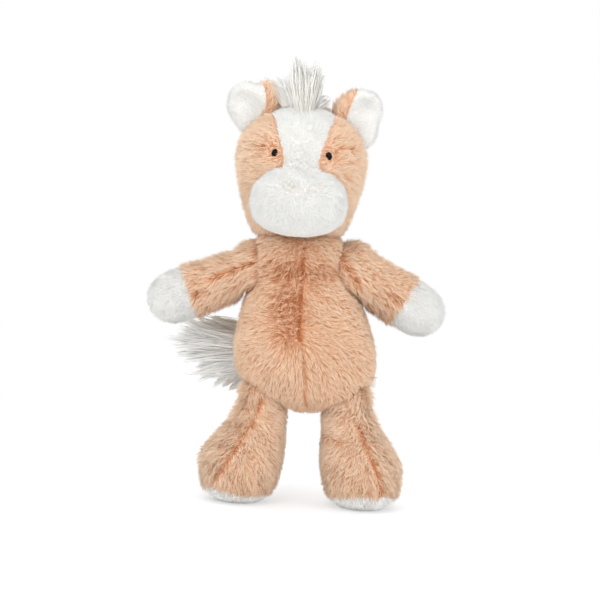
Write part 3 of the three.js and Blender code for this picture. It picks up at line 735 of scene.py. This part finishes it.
# The pile: closed tapered strands on the form, leaning with the lie and drawn together in clumps
def pileTree():
    tree, wire, value = newTree("pile", [
        ("Form", "Geometry"), ("Strands per square metre", "Float"), ("Strand length", "Float"),
        ("Strand width", "Float"), ("Clump size", "Float"), ("Clump pull", "Float"), ("Lean", "Float"),
        ("Bend", "Float"), ("Jitter", "Float"), ("Tuft sway", "Float"), ("Seam depth", "Float"),
        ("Seam reach", "Float"), ("Floor", "Float"), ("Seed", "Int"), ("Pile", "Material")])
    seed = value["Seed"]

    def field(name, kind="FLOAT"):
        return wire.node("GeometryNodeInputNamedAttribute", {"data_type": kind}, {"Name": name})

    def arrow(name):
        return field(name, "FLOAT_VECTOR")

    def chance(low, high, number):
        return wire.node("FunctionNodeRandomValue", {"data_type": "FLOAT"},
                         {2: low, 3: high, "Seed": seed + number}, 1)

    density = value["Strands per square metre"] * field("thick")
    points = wire.node("GeometryNodeDistributePointsOnFaces", {"distribute_method": "RANDOM"},
                       {"Mesh": value["Form"], "Seed": seed, "Density": density})
    points = stored(wire, points, "skinNormal", points.other("Normal"), "FLOAT_VECTOR")
    outside = wire.sum("MAXIMUM", wire.sum("LESS_THAN", field("own"), 0.0),
                       wire.sum("GREATER_THAN", field("hidden"), 0.5))
    points = wire.node("GeometryNodeDeleteGeometry", {"domain": "POINT"},
                       {"Geometry": points, "Selection": outside})
    place, upright = wire.node("GeometryNodeInputPosition"), arrow("skinNormal")

    def levelled(way):
        return way.minus(upright.scaled(wire.vector("DOT_PRODUCT", way, upright)))

    cell = wire.node("ShaderNodeTexVoronoi", {"voronoi_dimensions": "3D", "feature": "F1"},
                     {"Vector": place.scaled(1.0 / value["Clump size"]), "Scale": 1.0}, "Position")
    toCell = cell.scaled(value["Clump size"]).minus(place)
    tuft = levelled(cell.other("Color").minus((0.5, 0.5, 0.5)))
    seam = 1.0 - (1.0 - field("seam").spread(0.0, value["Seam reach"])) * value["Seam depth"]
    size, tone = chance(*pileSettings["sizes"], 1), chance(0.0, 1.0, 2)
    clumpTone = wire.node("ShaderNodeSeparateXYZ", None, {0: cell.other("Color")}, 0)
    wobble = wire.node("FunctionNodeRandomValue", {"data_type": "FLOAT_VECTOR"},
                       {0: (-1.0,) * 3, 1: (1.0,) * 3, "Seed": seed + 3}, 0)
    lie = arrow("lie").plus(tuft.scaled(value["Tuft sway"] * field("gather")))
    heading = upright.plus(lie.scaled(value["Lean"])).plus(wobble.scaled(value["Jitter"]))
    # Painted shade: the form's crease shade, mottled per clump and strand, and deeper where a seam parts the pile
    shadeMottle = clumpTone.spread(0.3, 0.95, 0.45, 1.7) * tone.spread(0.1, 0.95, 0.45, 1.7)
    ownShare, clumpShare = pileSettings["tones"]
    for name, what, kind in (
            ("reach", field("length") * size * value["Strand length"] * (0.5 + seam * 0.5), "FLOAT"),
            ("tone", tone * ownShare + clumpTone * clumpShare, "FLOAT"),
            ("shade", wire.sum("MAXIMUM", field("crease") * shadeMottle, 1.0 - seam), "FLOAT"),
            ("sweep", lie, "FLOAT_VECTOR"),
            ("pull", levelled(toCell).scaled(field("gather")), "FLOAT_VECTOR"),
            ("heading", wire.vector("NORMALIZE", heading), "FLOAT_VECTOR")):
        points = stored(wire, points, name, what, kind)
    cone = wire.node("GeometryNodeMeshCone", {"fill_type": "NGON"},
                     {"Vertices": 3, "Side Segments": 2, "Radius Top": 0.0, "Radius Bottom": 0.5,
                      "Depth": 1.0})
    height = wire.node("ShaderNodeSeparateXYZ", None, {0: wire.node("GeometryNodeInputPosition")}, 2)
    strand = stored(wire, cone, "along", height)
    turned = wire.node("FunctionNodeAlignRotationToVector", {"axis": "Z"}, {"Vector": arrow("heading")})
    spin = wire.node("FunctionNodeAxisAngleToRotation", None,
                     {"Axis": (0.0, 0.0, 1.0), "Angle": chance(0.0, 6.283, 4)})
    spun = wire.node("FunctionNodeRotateRotation", {"rotation_space": "LOCAL"}, {0: turned, 1: spin})
    scale = wire.node("ShaderNodeCombineXYZ", None,
                      {0: value["Strand width"], 1: value["Strand width"], 2: field("reach")})
    placed = wire.node("GeometryNodeInstanceOnPoints", None,
                       {"Points": points, "Instance": strand, "Rotation": spun, "Scale": scale})
    real = wire.node("GeometryNodeRealizeInstances", None, {"Geometry": placed})
    rise = field("along")
    curve = rise * rise
    drawn = arrow("pull").scaled(curve * value["Clump pull"])
    bent = arrow("sweep").scaled(curve * field("reach") * value["Bend"])
    moved = wire.node("GeometryNodeSetPosition", None, {"Geometry": real, "Offset": drawn.plus(bent)})
    parts = wire.node("ShaderNodeSeparateXYZ", None, {0: wire.node("GeometryNodeInputPosition")})
    raised = wire.node("ShaderNodeCombineXYZ", None,
                       {0: parts, 1: parts.other(1), 2: wire.sum("MAXIMUM", parts.other(2), value["Floor"])})
    settled = wire.node("GeometryNodeSetPosition", None, {"Geometry": moved, "Position": raised})
    finished = wire.node("GeometryNodeSetMaterial", None, {"Geometry": settled, "Material": value["Pile"]})
    wire.node("NodeGroupOutput", None, {0: finished})
    return tree


def runTree(form, tree, settings, name):
    modifier = form.modifiers.new(tree.name, "NODES")
    modifier.node_group = tree
    for item in tree.interface.items_tree:
        if item.in_out == "INPUT" and item.name in settings:
            modifier[item.identifier] = settings[item.name]
    mesh = plainMesh(form, name)
    form.modifiers.remove(modifier)
    return linked(name, mesh)


# Turns the strands' normals towards the form's, so that the pile is lit as soft cloth
def softenNormals(mesh, share, towards=(0, 0, 0)):
    form = unit(rows(mesh.attributes["skinNormal"].data, "vector") + np.array(towards, np.float32))
    own = normalsOf(mesh)
    mesh.polygons.foreach_set("use_smooth", np.ones(len(mesh.polygons), bool))
    mesh.normals_split_custom_set_from_vertices(unit(form * share + own * (1 - share)))


def dropFields(mesh, names):
    for name in names:
        if mesh.attributes.get(name):
            mesh.attributes.remove(mesh.attributes[name])


# How far up its strand each vertex lies, and the vertex of each corner of the faces
def heightsOf(mesh):
    height = np.empty(len(mesh.vertices), np.float32)
    mesh.attributes["along"].data.foreach_get("value", height)
    return height


def cornersOf(mesh):
    corner = np.empty(len(mesh.loops), np.int32)
    mesh.loops.foreach_get("vertex_index", corner)
    return corner


# Sets the map, root to tip, through which the strands' colour is kept
def setMap(mesh, across, up):
    layer = mesh.uv_layers.new(name="OFBake")
    layer.uv.foreach_set("vector", np.stack([across, up], 1).astype(np.float32).ravel())


strandVertices = 7  # two rings of three and a tip


# Where in its column each of a strand's three sides lies
def columnSide(which):
    return (which % 3) * 0.35 + 0.15


# Lays the pile's strands in rows of many narrow columns
def mapStrands(mesh):
    count = max(len(mesh.vertices) // strandVertices, 1)
    columns = math.ceil(math.sqrt(count * 8))
    rowCount = math.ceil(count / columns)
    corner = cornersOf(mesh)
    height = heightsOf(mesh)[corner]
    strand, which = corner // strandVertices, corner % strandVertices
    side = np.where(height > 0.99, 0.5, columnSide(which))
    setMap(mesh, (strand % columns + side) / columns, (strand // columns + 0.1 + 0.8 * height) / rowCount)


workFields = ("own", "seam", "lie", "length", "crease", "gather", "thick", "hidden", "reach", "pull",
              "heading", "sweep", "skinNormal")
slotOf = {part["node"]: part["material_slot"] for part in frame["record"]["subparts"]}
looks = {
    "peach_pile": {"pile": peachPile, "length": 1.0, "pull": 1.0, "lean": 1.0, "sway": 1.0,
                   "seamDepth": 0.6},
    "white_pile": {"pile": whitePile, "length": 0.62, "pull": 0.2, "lean": 0.75, "sway": 0.25,
                   "seamDepth": 0.1},
    "white_sole": {"pile": solePile, "length": 0.8, "pull": 0.8, "lean": 0.8, "sway": 0.7, "seamDepth": 0.15,
                   "towards": (0, -0.6, 0.6)},
}
strandTree = pileTree()


# Lets a strand's colour start nearer to that of its tip
def raisePile(mesh, amount):
    setField(mesh, "along", amount + (1 - amount) * heightsOf(mesh))


def growPile(body, seed):
    form, ground = forms[body], dressForm(body)
    kind = {**pileSettings, **ownPile.get(body, {})}
    for node, own in ground.items():
        look = looks[slotOf[node]]
        unlike = [other for other in ground if other != node and not (isWhite(other) and isWhite(node))]
        setField(form.data, "own", own)
        setField(form.data, "seam", own if unlike else np.full(len(own), 1.0))
        settings = {
            "Strands per square metre": kind["perSquareMetre"] * quickShare["strands"],
            "Strand length": kind["strandLength"] * look["length"] * kind["length"],
            "Strand width": kind["strandWidth"] * quickShare["width"],
            "Clump size": kind["clumpSize"], "Clump pull": kind["clumpPull"] * look["pull"],
            "Lean": kind["lean"] * look["lean"], "Bend": kind["bend"],
            "Jitter": kind["jitter"], "Tuft sway": kind["tuftSway"] * look["sway"],
            "Seam depth": look["seamDepth"], "Seam reach": kind["seamReach"],
            "Floor": kind["floor"], "Seed": seed, "Pile": look["pile"],
        }
        piece = runTree(form, strandTree, settings, node + "_pile")
        mapStrands(piece.data)
        raisePile(piece.data, paleness.get(body, 0.0))
        softenNormals(piece.data, kind["softness"], look.get("towards", (0, 0, 0)))
        dropFields(piece.data, workFields)
        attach(piece, body)
        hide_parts(node)
        print("pile", node, len(piece.data.polygons), "faces")


def finishForm(body):
    form = forms[body]
    dropFields(form.data, workFields)
    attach(form, body)
    if fillNodes[body]:
        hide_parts(*[node for node in fillNodes[body] if node != "bean_bag"])


for index, body in enumerate(furBodies):
    growPile(body, 11 + 7 * index)
    finishForm(body)
print("pile grown")

beanSettings = {"voxel": 2.5 * mm, "smoothing": 8, "inset": 3.5 * mm, "bean": 3.4 * mm, "bump": 0.9 * mm}


# The bag of beans low in the torso, inside the stuffing
def makeBeanBag():
    points, faces = nodeArrays(["bean_bag"])
    mesh = remeshed("bean_bag_cloth", points, faces, beanCloth, beanSettings)
    spots = places(mesh)
    lumps = np.prod(np.sin(spots / beanSettings["bean"] * math.pi), axis=1)
    spots += normalsOf(mesh) * (lumps[:, None] * beanSettings["bump"] - beanSettings["inset"])
    mesh.vertices.foreach_set("co", spots.ravel())
    shadeSmooth(mesh)
    bag = linked("bean_bag_cloth", mesh)
    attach(bag, "torso")
    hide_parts("bean_bag")


makeBeanBag()


# Long hair: bundles of tapering strands that follow bent guide lines
def hairTree():
    tree, wire, value = newTree("longHair", [
        ("Guides", "Geometry"), ("Root radius", "Float"), ("Tip share", "Float"), ("Sides", "Int"),
        ("Hair", "Material")])
    rise = wire.node("GeometryNodeSplineParameter", None, None, "Factor")
    girth = value["Root radius"] * wire.node("GeometryNodeInputRadius")
    girth = girth * (1.0 - (rise ** 3.0) * (1.0 - value["Tip share"]))
    curves = stored(wire, value["Guides"], "along", rise)
    thick = wire.node("GeometryNodeSetCurveRadius", None, {"Curve": curves, "Radius": girth})
    section = wire.node("GeometryNodeCurvePrimitiveCircle", None,
                        {"Resolution": value["Sides"], "Radius": 1.0})
    tubes = wire.node("GeometryNodeCurveToMesh", None,
                      {"Curve": thick, "Profile Curve": section, "Fill Caps": True})
    if "Scale" in tubes.socket.node.inputs:
        tree.links.new(wire.node("GeometryNodeInputRadius").socket, tubes.socket.node.inputs["Scale"])
    real = wire.node("GeometryNodeRealizeInstances", None, {"Geometry": tubes})
    finished = wire.node("GeometryNodeSetMaterial", None, {"Geometry": real, "Material": value["Hair"]})
    wire.node("NodeGroupOutput", None, {0: finished})
    return tree


longHairTree = hairTree()
hairSides = 3  # of a strand's section
lockSettings = {"roundness": 1.6, "coreLength": 0.8, "lockTone": 0.55, "ownTone": 0.45}


# A line read again at other places along its points
def resampled(line, at):
    return np.stack([np.interp(at, range(len(line)), line[:, k]) for k in range(3)], 1)


def bezier(start, bend, tip, steps):
    share = np.linspace(0, 1, steps)[:, None]
    return (1 - share) ** 2 * start + 2 * share * (1 - share) * bend + share ** 2 * tip


# The strands of each lock: close at the root, fuller along its middle and drawn to a ragged tip
def hairStrands(locks, settings, seed):
    chance = np.random.default_rng(seed)
    steps = settings["steps"]
    share = np.linspace(0, 1, steps)[:, None]
    strands, middles, tones, girths = [], [], [], []
    for start, bend, tip, depth in locks:
        # a lock's painted shade: its depth with the setting's greyer added
        lockShade = depth + settings["greyer"]
        line = bezier(np.array(start), np.array(bend), np.array(tip), steps)
        phase, turns = chance.uniform(0, 6.28), chance.uniform(4, 7)
        swing = np.sin(share * turns + phase) - math.sin(phase)
        line = line + swing * chance.normal(0, 0.7, 3) * settings["lockWave"] * share
        lockTone = chance.uniform(0, 1)
        width = (settings["rootSpread"] * (1 - share) + settings["midSpread"] * 4 * share * (1 - share)
                 + settings["tipSpread"] * share)
        for _ in range(settings["strands"]):
            spot = chance.normal(0, 1, 3)
            spot /= max(1.0, np.linalg.norm(spot) / lockSettings["roundness"])
            wave = settings["wave"] * np.sin(share * chance.uniform(3, 7) + chance.uniform(0, 6.28))
            strand = line + spot * width + chance.normal(0, 1, 3) * wave * share
            cut = np.linspace(0, chance.uniform(settings["shortest"], 1.0) * (steps - 1), steps)
            strands.append(resampled(strand, cut))
            middles.append(resampled(line, cut))
            tone = lockSettings["lockTone"] * lockTone + lockSettings["ownTone"] * chance.uniform(0, 1)
            tones.append((tone, lockShade))
            girths.append(np.ones(steps))
        core = np.linspace(0, lockSettings["coreLength"] * (steps - 1), steps)
        strands.append(resampled(line, core))  # one thick strand in the middle of the lock
        middles.append(strands[-1] + 0.01 * mm)
        tones.append((lockTone, lockShade))
        girths.append(settings["core"] * np.interp(core, range(steps), width[:, 0]) / settings["rootRadius"])
    return np.array(strands), np.array(middles), np.array(tones), np.array(girths)


def growHair(name, body, node, locks, settings, seed):
    strands, middles, tones, girths = hairStrands(locks, settings, seed)
    curve = bpy.data.curves.new(name, "CURVE")
    curve.dimensions = "3D"
    for strand, girth in zip(strands, girths):
        spline = curve.splines.new("POLY")
        spline.points.add(len(strand) - 1)
        spline.points.foreach_set("co", np.column_stack([strand, np.ones(len(strand))]).ravel())
        spline.points.foreach_set("radius", girth)
    guides = linked(name, curve)
    values = {"Root radius": settings["rootRadius"], "Tip share": settings["tipShare"], "Sides": hairSides,
              "Hair": hairPile}
    piece = runTree(guides, longHairTree, values, name)
    bpy.data.objects.remove(guides)
    mesh = piece.data
    perStrand = settings["steps"] * hairSides
    setField(mesh, "tone", np.repeat(tones[:, 0], perStrand))
    setField(mesh, "shade", np.repeat(tones[:, 1], perStrand))
    outwards = places(mesh) - np.repeat(middles.reshape(-1, 3), hairSides, axis=0)
    setField(mesh, "skinNormal", unit(outwards), "FLOAT_VECTOR")
    mapHair(mesh, perStrand)
    softenNormals(mesh, settings["softness"], settings["towards"])
    dropFields(mesh, workFields)
    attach(piece, body)
    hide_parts(node)
    print("hair", name, len(mesh.polygons), "faces")


# Lays each strand of hair in a column of its own
def mapHair(mesh, perStrand):
    count = max(len(mesh.vertices) // perStrand, 1)
    corner = cornersOf(mesh)
    setMap(mesh, (corner // perStrand + columnSide(corner)) / count, 0.01 + 0.98 * heightsOf(mesh)[corner])


# Tips by their pixel in the photograph, with how far behind the toy's middle each lies and how deep in painted
# shade its lock lies
tailSettings = {
    "strands": 80, "steps": 9, "rootSpread": 2.2 * mm, "midSpread": 1.8 * mm, "tipSpread": 0.6 * mm,
    "core": 0.7, "greyer": -0.25, "lockWave": 4 * mm, "wave": 1.1 * mm, "shortest": 0.82,
    "rootRadius": 0.24 * mm, "tipShare": 0.8, "softness": 0.45, "towards": (-0.5, -1.0, 0.6),
    "fanFrom": (250, 352), "fanShare": 0.3, "outward": 15 * mm, "tangle": 4 * mm,
    "tips": [
        ((210, 320), 40, 1.0), ((199, 325), 44, 0.9), ((207, 330), 50, 1.0), ((182, 326), 42, 0.6),
        ((178, 333), 48, 0.4), ((195, 333), 38, 0.6), ((167, 342), 40, 0.0), ((174, 338), 46, 0.05),
        ((184, 348), 52, 0.05), ((169, 352), 38, 0.0), ((172, 359), 44, 0.0), ((186, 356), 52, 0.0),
        ((182, 365), 40, 0.05), ((186, 380), 42, 0.05), ((196, 373), 48, 0.0), ((210, 382), 40, 0.1),
        ((204, 366), 54, 0.0), ((221, 392), 38, 0.7), ((229, 396), 42, 0.8), ((234, 393), 38, 0.8),
        ((220, 380), 46, 0.25), ((190, 341), 56, 0.1), ((197, 386), 46, 0.05), ((214, 389), 48, 0.2),
    ],
}
tailRoot = np.array(joints["tail_swing"]["pos_m"])
tailChance = np.random.default_rng(17)
tailLocks = []
fanX, fanY = tailSettings["fanFrom"]
for pixel, behind, depth in tailSettings["tips"]:
    x, z = fromPhoto(pixel, behind * mm)
    tip = np.array([x, behind * mm, z])
    bendX, bendZ = fromPhoto((fanX, fanY + (pixel[1] - fanY) * tailSettings["fanShare"]), behind * mm)
    bend = np.array([bendX, tailRoot[1] + tailSettings["outward"], bendZ])
    bend += tailChance.uniform(-1, 1, 3) * tailSettings["tangle"]
    tailLocks.append((tailRoot, bend, tip, depth))
growHair("tail_hair", "tail", "tail", tailLocks, tailSettings, 301)

# Roots and tips by their pixels, with how far behind the toy's middle each lies and how deep in painted shade the
# lock lies
forelockSettings = {
    "strands": 90, "steps": 8, "rootSpread": 1.9 * mm, "midSpread": 1.3 * mm, "tipSpread": 0.9 * mm,
    "core": 1.0, "greyer": 0.34, "lockWave": 0.8 * mm, "wave": 0.6 * mm, "shortest": 0.75,
    "rootRadius": 0.19 * mm, "tipShare": 0.5, "softness": 0.6, "towards": (0, -0.3, 1.6),
    "arch": 0.25, "out": 2 * mm, "lift": 2 * mm,
    "locks": [
        ((301.8, 114), (295.5, 58), -14, -8, 0), ((302.8, 114), (299, 60), -15, -10, 0),
        ((304.2, 114), (302.5, 64), -14, -9, 0), ((300.8, 113), (291.5, 69), -12, -5, 0),
        ((299.8, 112), (288.5, 75), -10, -3, 0.05), ((305.2, 114), (307, 70), -13, -8, 0),
        ((306.8, 113), (317.5, 64), -13, -9, 0), ((308.2, 113), (321, 69), -12, -6, 0),
        ((308.8, 112), (323, 78), -10, -4, 0.05), ((306.2, 112), (313.5, 68), -9, -3, 0.1),
        ((302.8, 110), (300, 70), -4, 3, 0.1), ((307.8, 110), (317, 75), -4, 4, 0.1),
        ((303.8, 114), (296, 78), -15, -12, 0), ((305.8, 114), (309, 80), -15, -12, 0),
        ((289, 108), (267, 78), -2, 3, -0.15), ((291, 108), (274, 79), 0, 6, -0.15),
        ((293, 108), (281, 79), -4, 0, -0.2), ((287, 107), (272, 86), -5, -1, -0.15),
        ((294, 108), (286, 79), -5, -1, -0.2), ((316, 109), (330, 100), -4, -2, -0.2),
        ((316, 109), (324, 101), -2, 2, -0.2),
    ],
}
forelockLocks = []
for root, tip, rootBack, tipBack, depth in forelockSettings["locks"]:
    (rootX, rootZ), (tipX, tipZ) = fromPhoto(root), fromPhoto(tip)
    start, end = np.array([rootX, rootBack * mm, rootZ]), np.array([tipX, tipBack * mm, tipZ])
    arch = (start[0] - end[0]) * forelockSettings["arch"]
    bend = (start + end) / 2 + np.array([arch, -forelockSettings["out"], forelockSettings["lift"]])
    forelockLocks.append((start, bend, end, depth))
growHair("forelock_hair", "head", "forelock", forelockLocks, forelockSettings, 302)

# Locks in a row from the crown down the nape, each leaning to one side and then to the other
# each lock's depth is the depth of its painted shade
maneSettings = {
    "strands": 84, "steps": 8, "rootSpread": 2.8 * mm, "midSpread": 2.4 * mm, "tipSpread": 2.0 * mm,
    "core": 0.7, "greyer": 0.1, "lockWave": 1.4 * mm, "wave": 0.8 * mm, "shortest": 0.7,
    "rootRadius": 0.24 * mm, "tipShare": 0.4, "softness": 0.15, "towards": (0, 0, 0.8),
    "locks": 19, "length": 21 * mm, "tipOut": 0.62, "bendOut": 0.55, "droops": (0.55, 0.67, 0.79),
    "sideways": 3.4 * mm, "spreads": (0.4, 0.7, 1.0), "rootSide": 0.6, "tipSide": 1.8, "depth": 0.1,
    "firstTurn": 8, "lastTurn": 126, "lookFrom": 0.2,
}
headLow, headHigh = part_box("cheek_left")
headMiddle = np.array([centreOf("blaze")[0], (headLow.y + headHigh.y) / 2, (headLow.z + headHigh.z) / 2])
maneTurns = np.linspace(maneSettings["firstTurn"], maneSettings["lastTurn"], maneSettings["locks"])
maneLocks = []
for i, turn in enumerate(np.radians(maneTurns)):
    aim = np.array([0, math.sin(turn), math.cos(turn)])
    hit = formTrees["head"].ray_cast(Vector(headMiddle + aim * maneSettings["lookFrom"]), Vector(-aim))[0]
    start = np.array(hit) - aim * mm
    side = (-1) ** i * maneSettings["sideways"] * maneSettings["spreads"][i % 3]
    droop = maneSettings["length"] * maneSettings["droops"][i % 3]
    fall = np.array([side * maneSettings["tipSide"], 0, -droop])
    tip = start + aim * maneSettings["length"] * maneSettings["tipOut"] + fall
    start[0] += side * maneSettings["rootSide"]
    bend = start + aim * maneSettings["length"] * maneSettings["bendOut"]
    maneLocks.append((start, bend, tip, maneSettings["depth"]))
growHair("mane_hair", "head", "mane", maneLocks, maneSettings, 303)


# A closed body turned from a profile, for the bead eyes
def lathe(profile, sides):
    turns = [2 * math.pi * k / sides for k in range(sides)]
    points, faces = [(0, 0, profile[0][1])], []
    for r, z in profile[1:-1]:
        points += [(r * math.cos(turn), r * math.sin(turn), z) for turn in turns]
    points.append((0, 0, profile[-1][1]))
    last, top = len(points) - 1, len(points) - 1 - sides
    for k in range(sides):
        after = (k + 1) % sides
        faces.append((0, 1 + after, 1 + k))
        for low in range(1, top, sides):
            high = low + sides
            faces.append((low + k, low + after, high + after, high + k))
        faces.append((top + k, top + after, last))
    return points, faces


eyeSettings = {"radius": 3.3 * mm, "dome": 2.5 * mm, "rim": 0.8 * mm, "lift": -0.1 * mm, "sides": 40,
               "rings": 12, "across": 0.66, "along": 0.86, "shank": 8 * mm, "shankRadius": 1.1 * mm}


def makeEye(side):
    node = "eye_" + side
    points = nodeArrays([node])[0]
    facing = Vector(centreOf(node) - headMiddle)
    facing.z = 0
    facing.normalize()
    tip = points[np.argmax(points @ np.array(facing))]
    r, dome, rim = eyeSettings["radius"], eyeSettings["dome"], eyeSettings["rim"]
    shank, shankRadius = eyeSettings["shank"], eyeSettings["shankRadius"]
    rises = [i * math.pi / 2 / eyeSettings["rings"] for i in range(eyeSettings["rings"])]
    arc = [(r * math.cos(rise), dome * math.sin(rise)) for rise in rises]
    profile = [(0, -shank), (shankRadius, -shank), (shankRadius, -rim), (r * 0.8, -rim), (r, -rim * 0.4)]
    verts, faces = lathe(profile + arc + [(0, dome)], eyeSettings["sides"])
    turn = facing.to_track_quat("Z", "Y").to_matrix().to_4x4()
    tilt = Matrix.Rotation(math.radians(eyeGap["tilt"]) * (1 if side == "left" else -1), 4, "Z")
    turn = turn @ tilt @ Matrix.Diagonal((eyeSettings["across"], eyeSettings["along"], 1, 1))
    place = Matrix.Translation(Vector(tip) - facing * (dome - eyeSettings["lift"])) @ turn
    piece = newPiece(node + "_bead", [place @ Vector(v) for v in verts], faces, blackBead)
    shadeSmooth(piece.data)
    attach(piece, "head")
    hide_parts(node)


def repaint(node, material):
    materials = frame["nodes"][node].data.materials
    materials.clear()
    materials.append(material)


for side in ("left", "right"):
    makeEye(side)
    repaint("eye_washer_" + side, washerPlastic)
repaint("neck_thread", threadLook)

# The blank tape in the side seam, folded over at its outer end
labelSettings = {"thickness": 0.25 * mm, "open": 1.6 * mm, "out": 1.5 * mm, "inside": 3 * mm,
                 "gap": 0.3 * mm, "steps": 14}


def makeLabel():
    low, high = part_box("seam_label")
    turns = [math.pi * (i / labelSettings["steps"] - 0.5) for i in range(labelSettings["steps"] + 1)]
    centreY, centreX = (low.y + high.y) / 2, high.x + labelSettings["out"] - labelSettings["open"]
    inside, gap = low.x - labelSettings["inside"], labelSettings["gap"]
    fold = [(centreX + math.cos(turn) * labelSettings["open"] * 0.5, math.sin(turn) * labelSettings["open"])
            for turn in turns]
    loop = [(inside, -gap)] + fold + [(inside, gap)]
    points = [(x, centreY + y, z) for x, y in loop for z in (low.z, high.z)]
    faces = [(2 * i, 2 * i + 2, 2 * i + 3, 2 * i + 1) for i in range(len(loop) - 1)]
    piece = newPiece("seam_label_tape", points, faces, labelTape)
    solid = piece.modifiers.new("thickness", "SOLIDIFY")
    solid.thickness = labelSettings["thickness"]
    solid.offset = 0
    mesh = plainMesh(piece, "seam_label_tape")
    piece.modifiers.clear()
    piece.data = mesh
    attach(piece, "torso")
    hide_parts("seam_label")


makeLabel()
print("eyes and label made")


# Floor, lamps and camera
floorSettings = {"half": 3.0, "fade": (0.16, 0.5), "paint": (0.93, 0.93, 0.93, 1.0)}
worldSettings = {"soft": (0.98, 0.99, 1.0, 1.0), "strength": 1.2}
seenWhite = {"Color": (1.0, 1.0, 1.0, 1.0), "Strength": 1.0}


# One for rays that see the white around the toy: the camera's own, mirrored and clear ones
def seenRays(wire):
    ray = wire.node("ShaderNodeLightPath")
    seen = wire.sum("MAXIMUM", ray, ray.other("Is Glossy Ray"))
    return wire.sum("MAXIMUM", seen, ray.other("Is Transmission Ray"))


def makeFloor():
    material, wire = newMaterial("paleFloor")
    away = wire.vector("LENGTH", ownPlace(wire)).spread(*floorSettings["fade"])
    paint = wire.node("ShaderNodeBsdfDiffuse", None, {"Color": floorSettings["paint"]})
    glow = wire.node("ShaderNodeEmission", None, seenWhite)
    share = seenRays(wire) * (away * 0.5 + 0.5)
    mixed = wire.node("ShaderNodeMixShader", None, {0: share, 1: paint, 2: glow})
    wire.node("ShaderNodeOutputMaterial", None, {"Surface": mixed})
    half = floorSettings["half"]
    corners = [(-half, -half, 0), (half, -half, 0), (half, half, 0), (-half, half, 0)]
    newPiece("floor", corners, [(0, 1, 2, 3)], material)


def makeWorld():
    world = bpy.data.worlds.new("studio")
    bpy.context.scene.world = world
    world.use_nodes = True
    world.node_tree.nodes.clear()
    wire = Wire(world.node_tree)
    soft = wire.node("ShaderNodeBackground", None,
                     {"Color": worldSettings["soft"], "Strength": worldSettings["strength"]})
    white = wire.node("ShaderNodeBackground", None, seenWhite)
    mixed = wire.node("ShaderNodeMixShader", None, {0: seenRays(wire), 1: soft, 2: white})
    wire.node("ShaderNodeOutputWorld", None, {"Surface": mixed})


lampAim = Vector((0, 0, 0.15))
lampSettings = [
    {"name": "key", "place": (-0.45, -1.1, 1.15), "size": 0.9, "power": 6.5},
    {"name": "fill", "place": (0.9, -0.9, 0.6), "size": 1.0, "power": 3.2},
    {"name": "low", "place": (-0.2, -1.3, 0.3), "size": 1.2, "power": 3.0},
    {"name": "behind", "place": (-0.4, 1.3, 0.6), "size": 1.4, "power": 3.4},
]


def makeLamps():
    for lamp in lampSettings:
        light = bpy.data.lights.new(lamp["name"], "AREA")
        light.size = lamp["size"]
        light.energy = lamp["power"]
        holder = linked(lamp["name"], light)
        holder.location = lamp["place"]
        holder.rotation_euler = (lampAim - Vector(lamp["place"])).to_track_quat("-Z", "Y").to_euler()


def makeCamera():
    data = bpy.data.cameras.new("camera")
    data.lens = cameraSettings["lens"]
    data.sensor_width = cameraSettings["sensor"]
    data.clip_start, data.clip_end = cameraSettings["clip"]
    camera = linked("camera", data)
    bpy.context.scene.camera = camera
    rise = math.radians(cameraSettings["elevation"])
    back = Vector((0, -math.cos(rise), math.sin(rise)))
    turn = (-back).to_track_quat("-Z", "Y").to_matrix() @ Matrix.Rotation(math.radians(photo["roll"]), 3, "Z")
    aimX, aimZ = fromPhoto(photo["centre"])
    place = Vector((aimX, 0, aimZ)) + back * cameraSettings["distance"]
    camera.matrix_world = Matrix.Translation(place) @ turn.to_4x4()


makeFloor()
makeWorld()
makeLamps()
makeCamera()
bpy.context.scene.view_settings.view_transform = "Standard"
print("stage set")
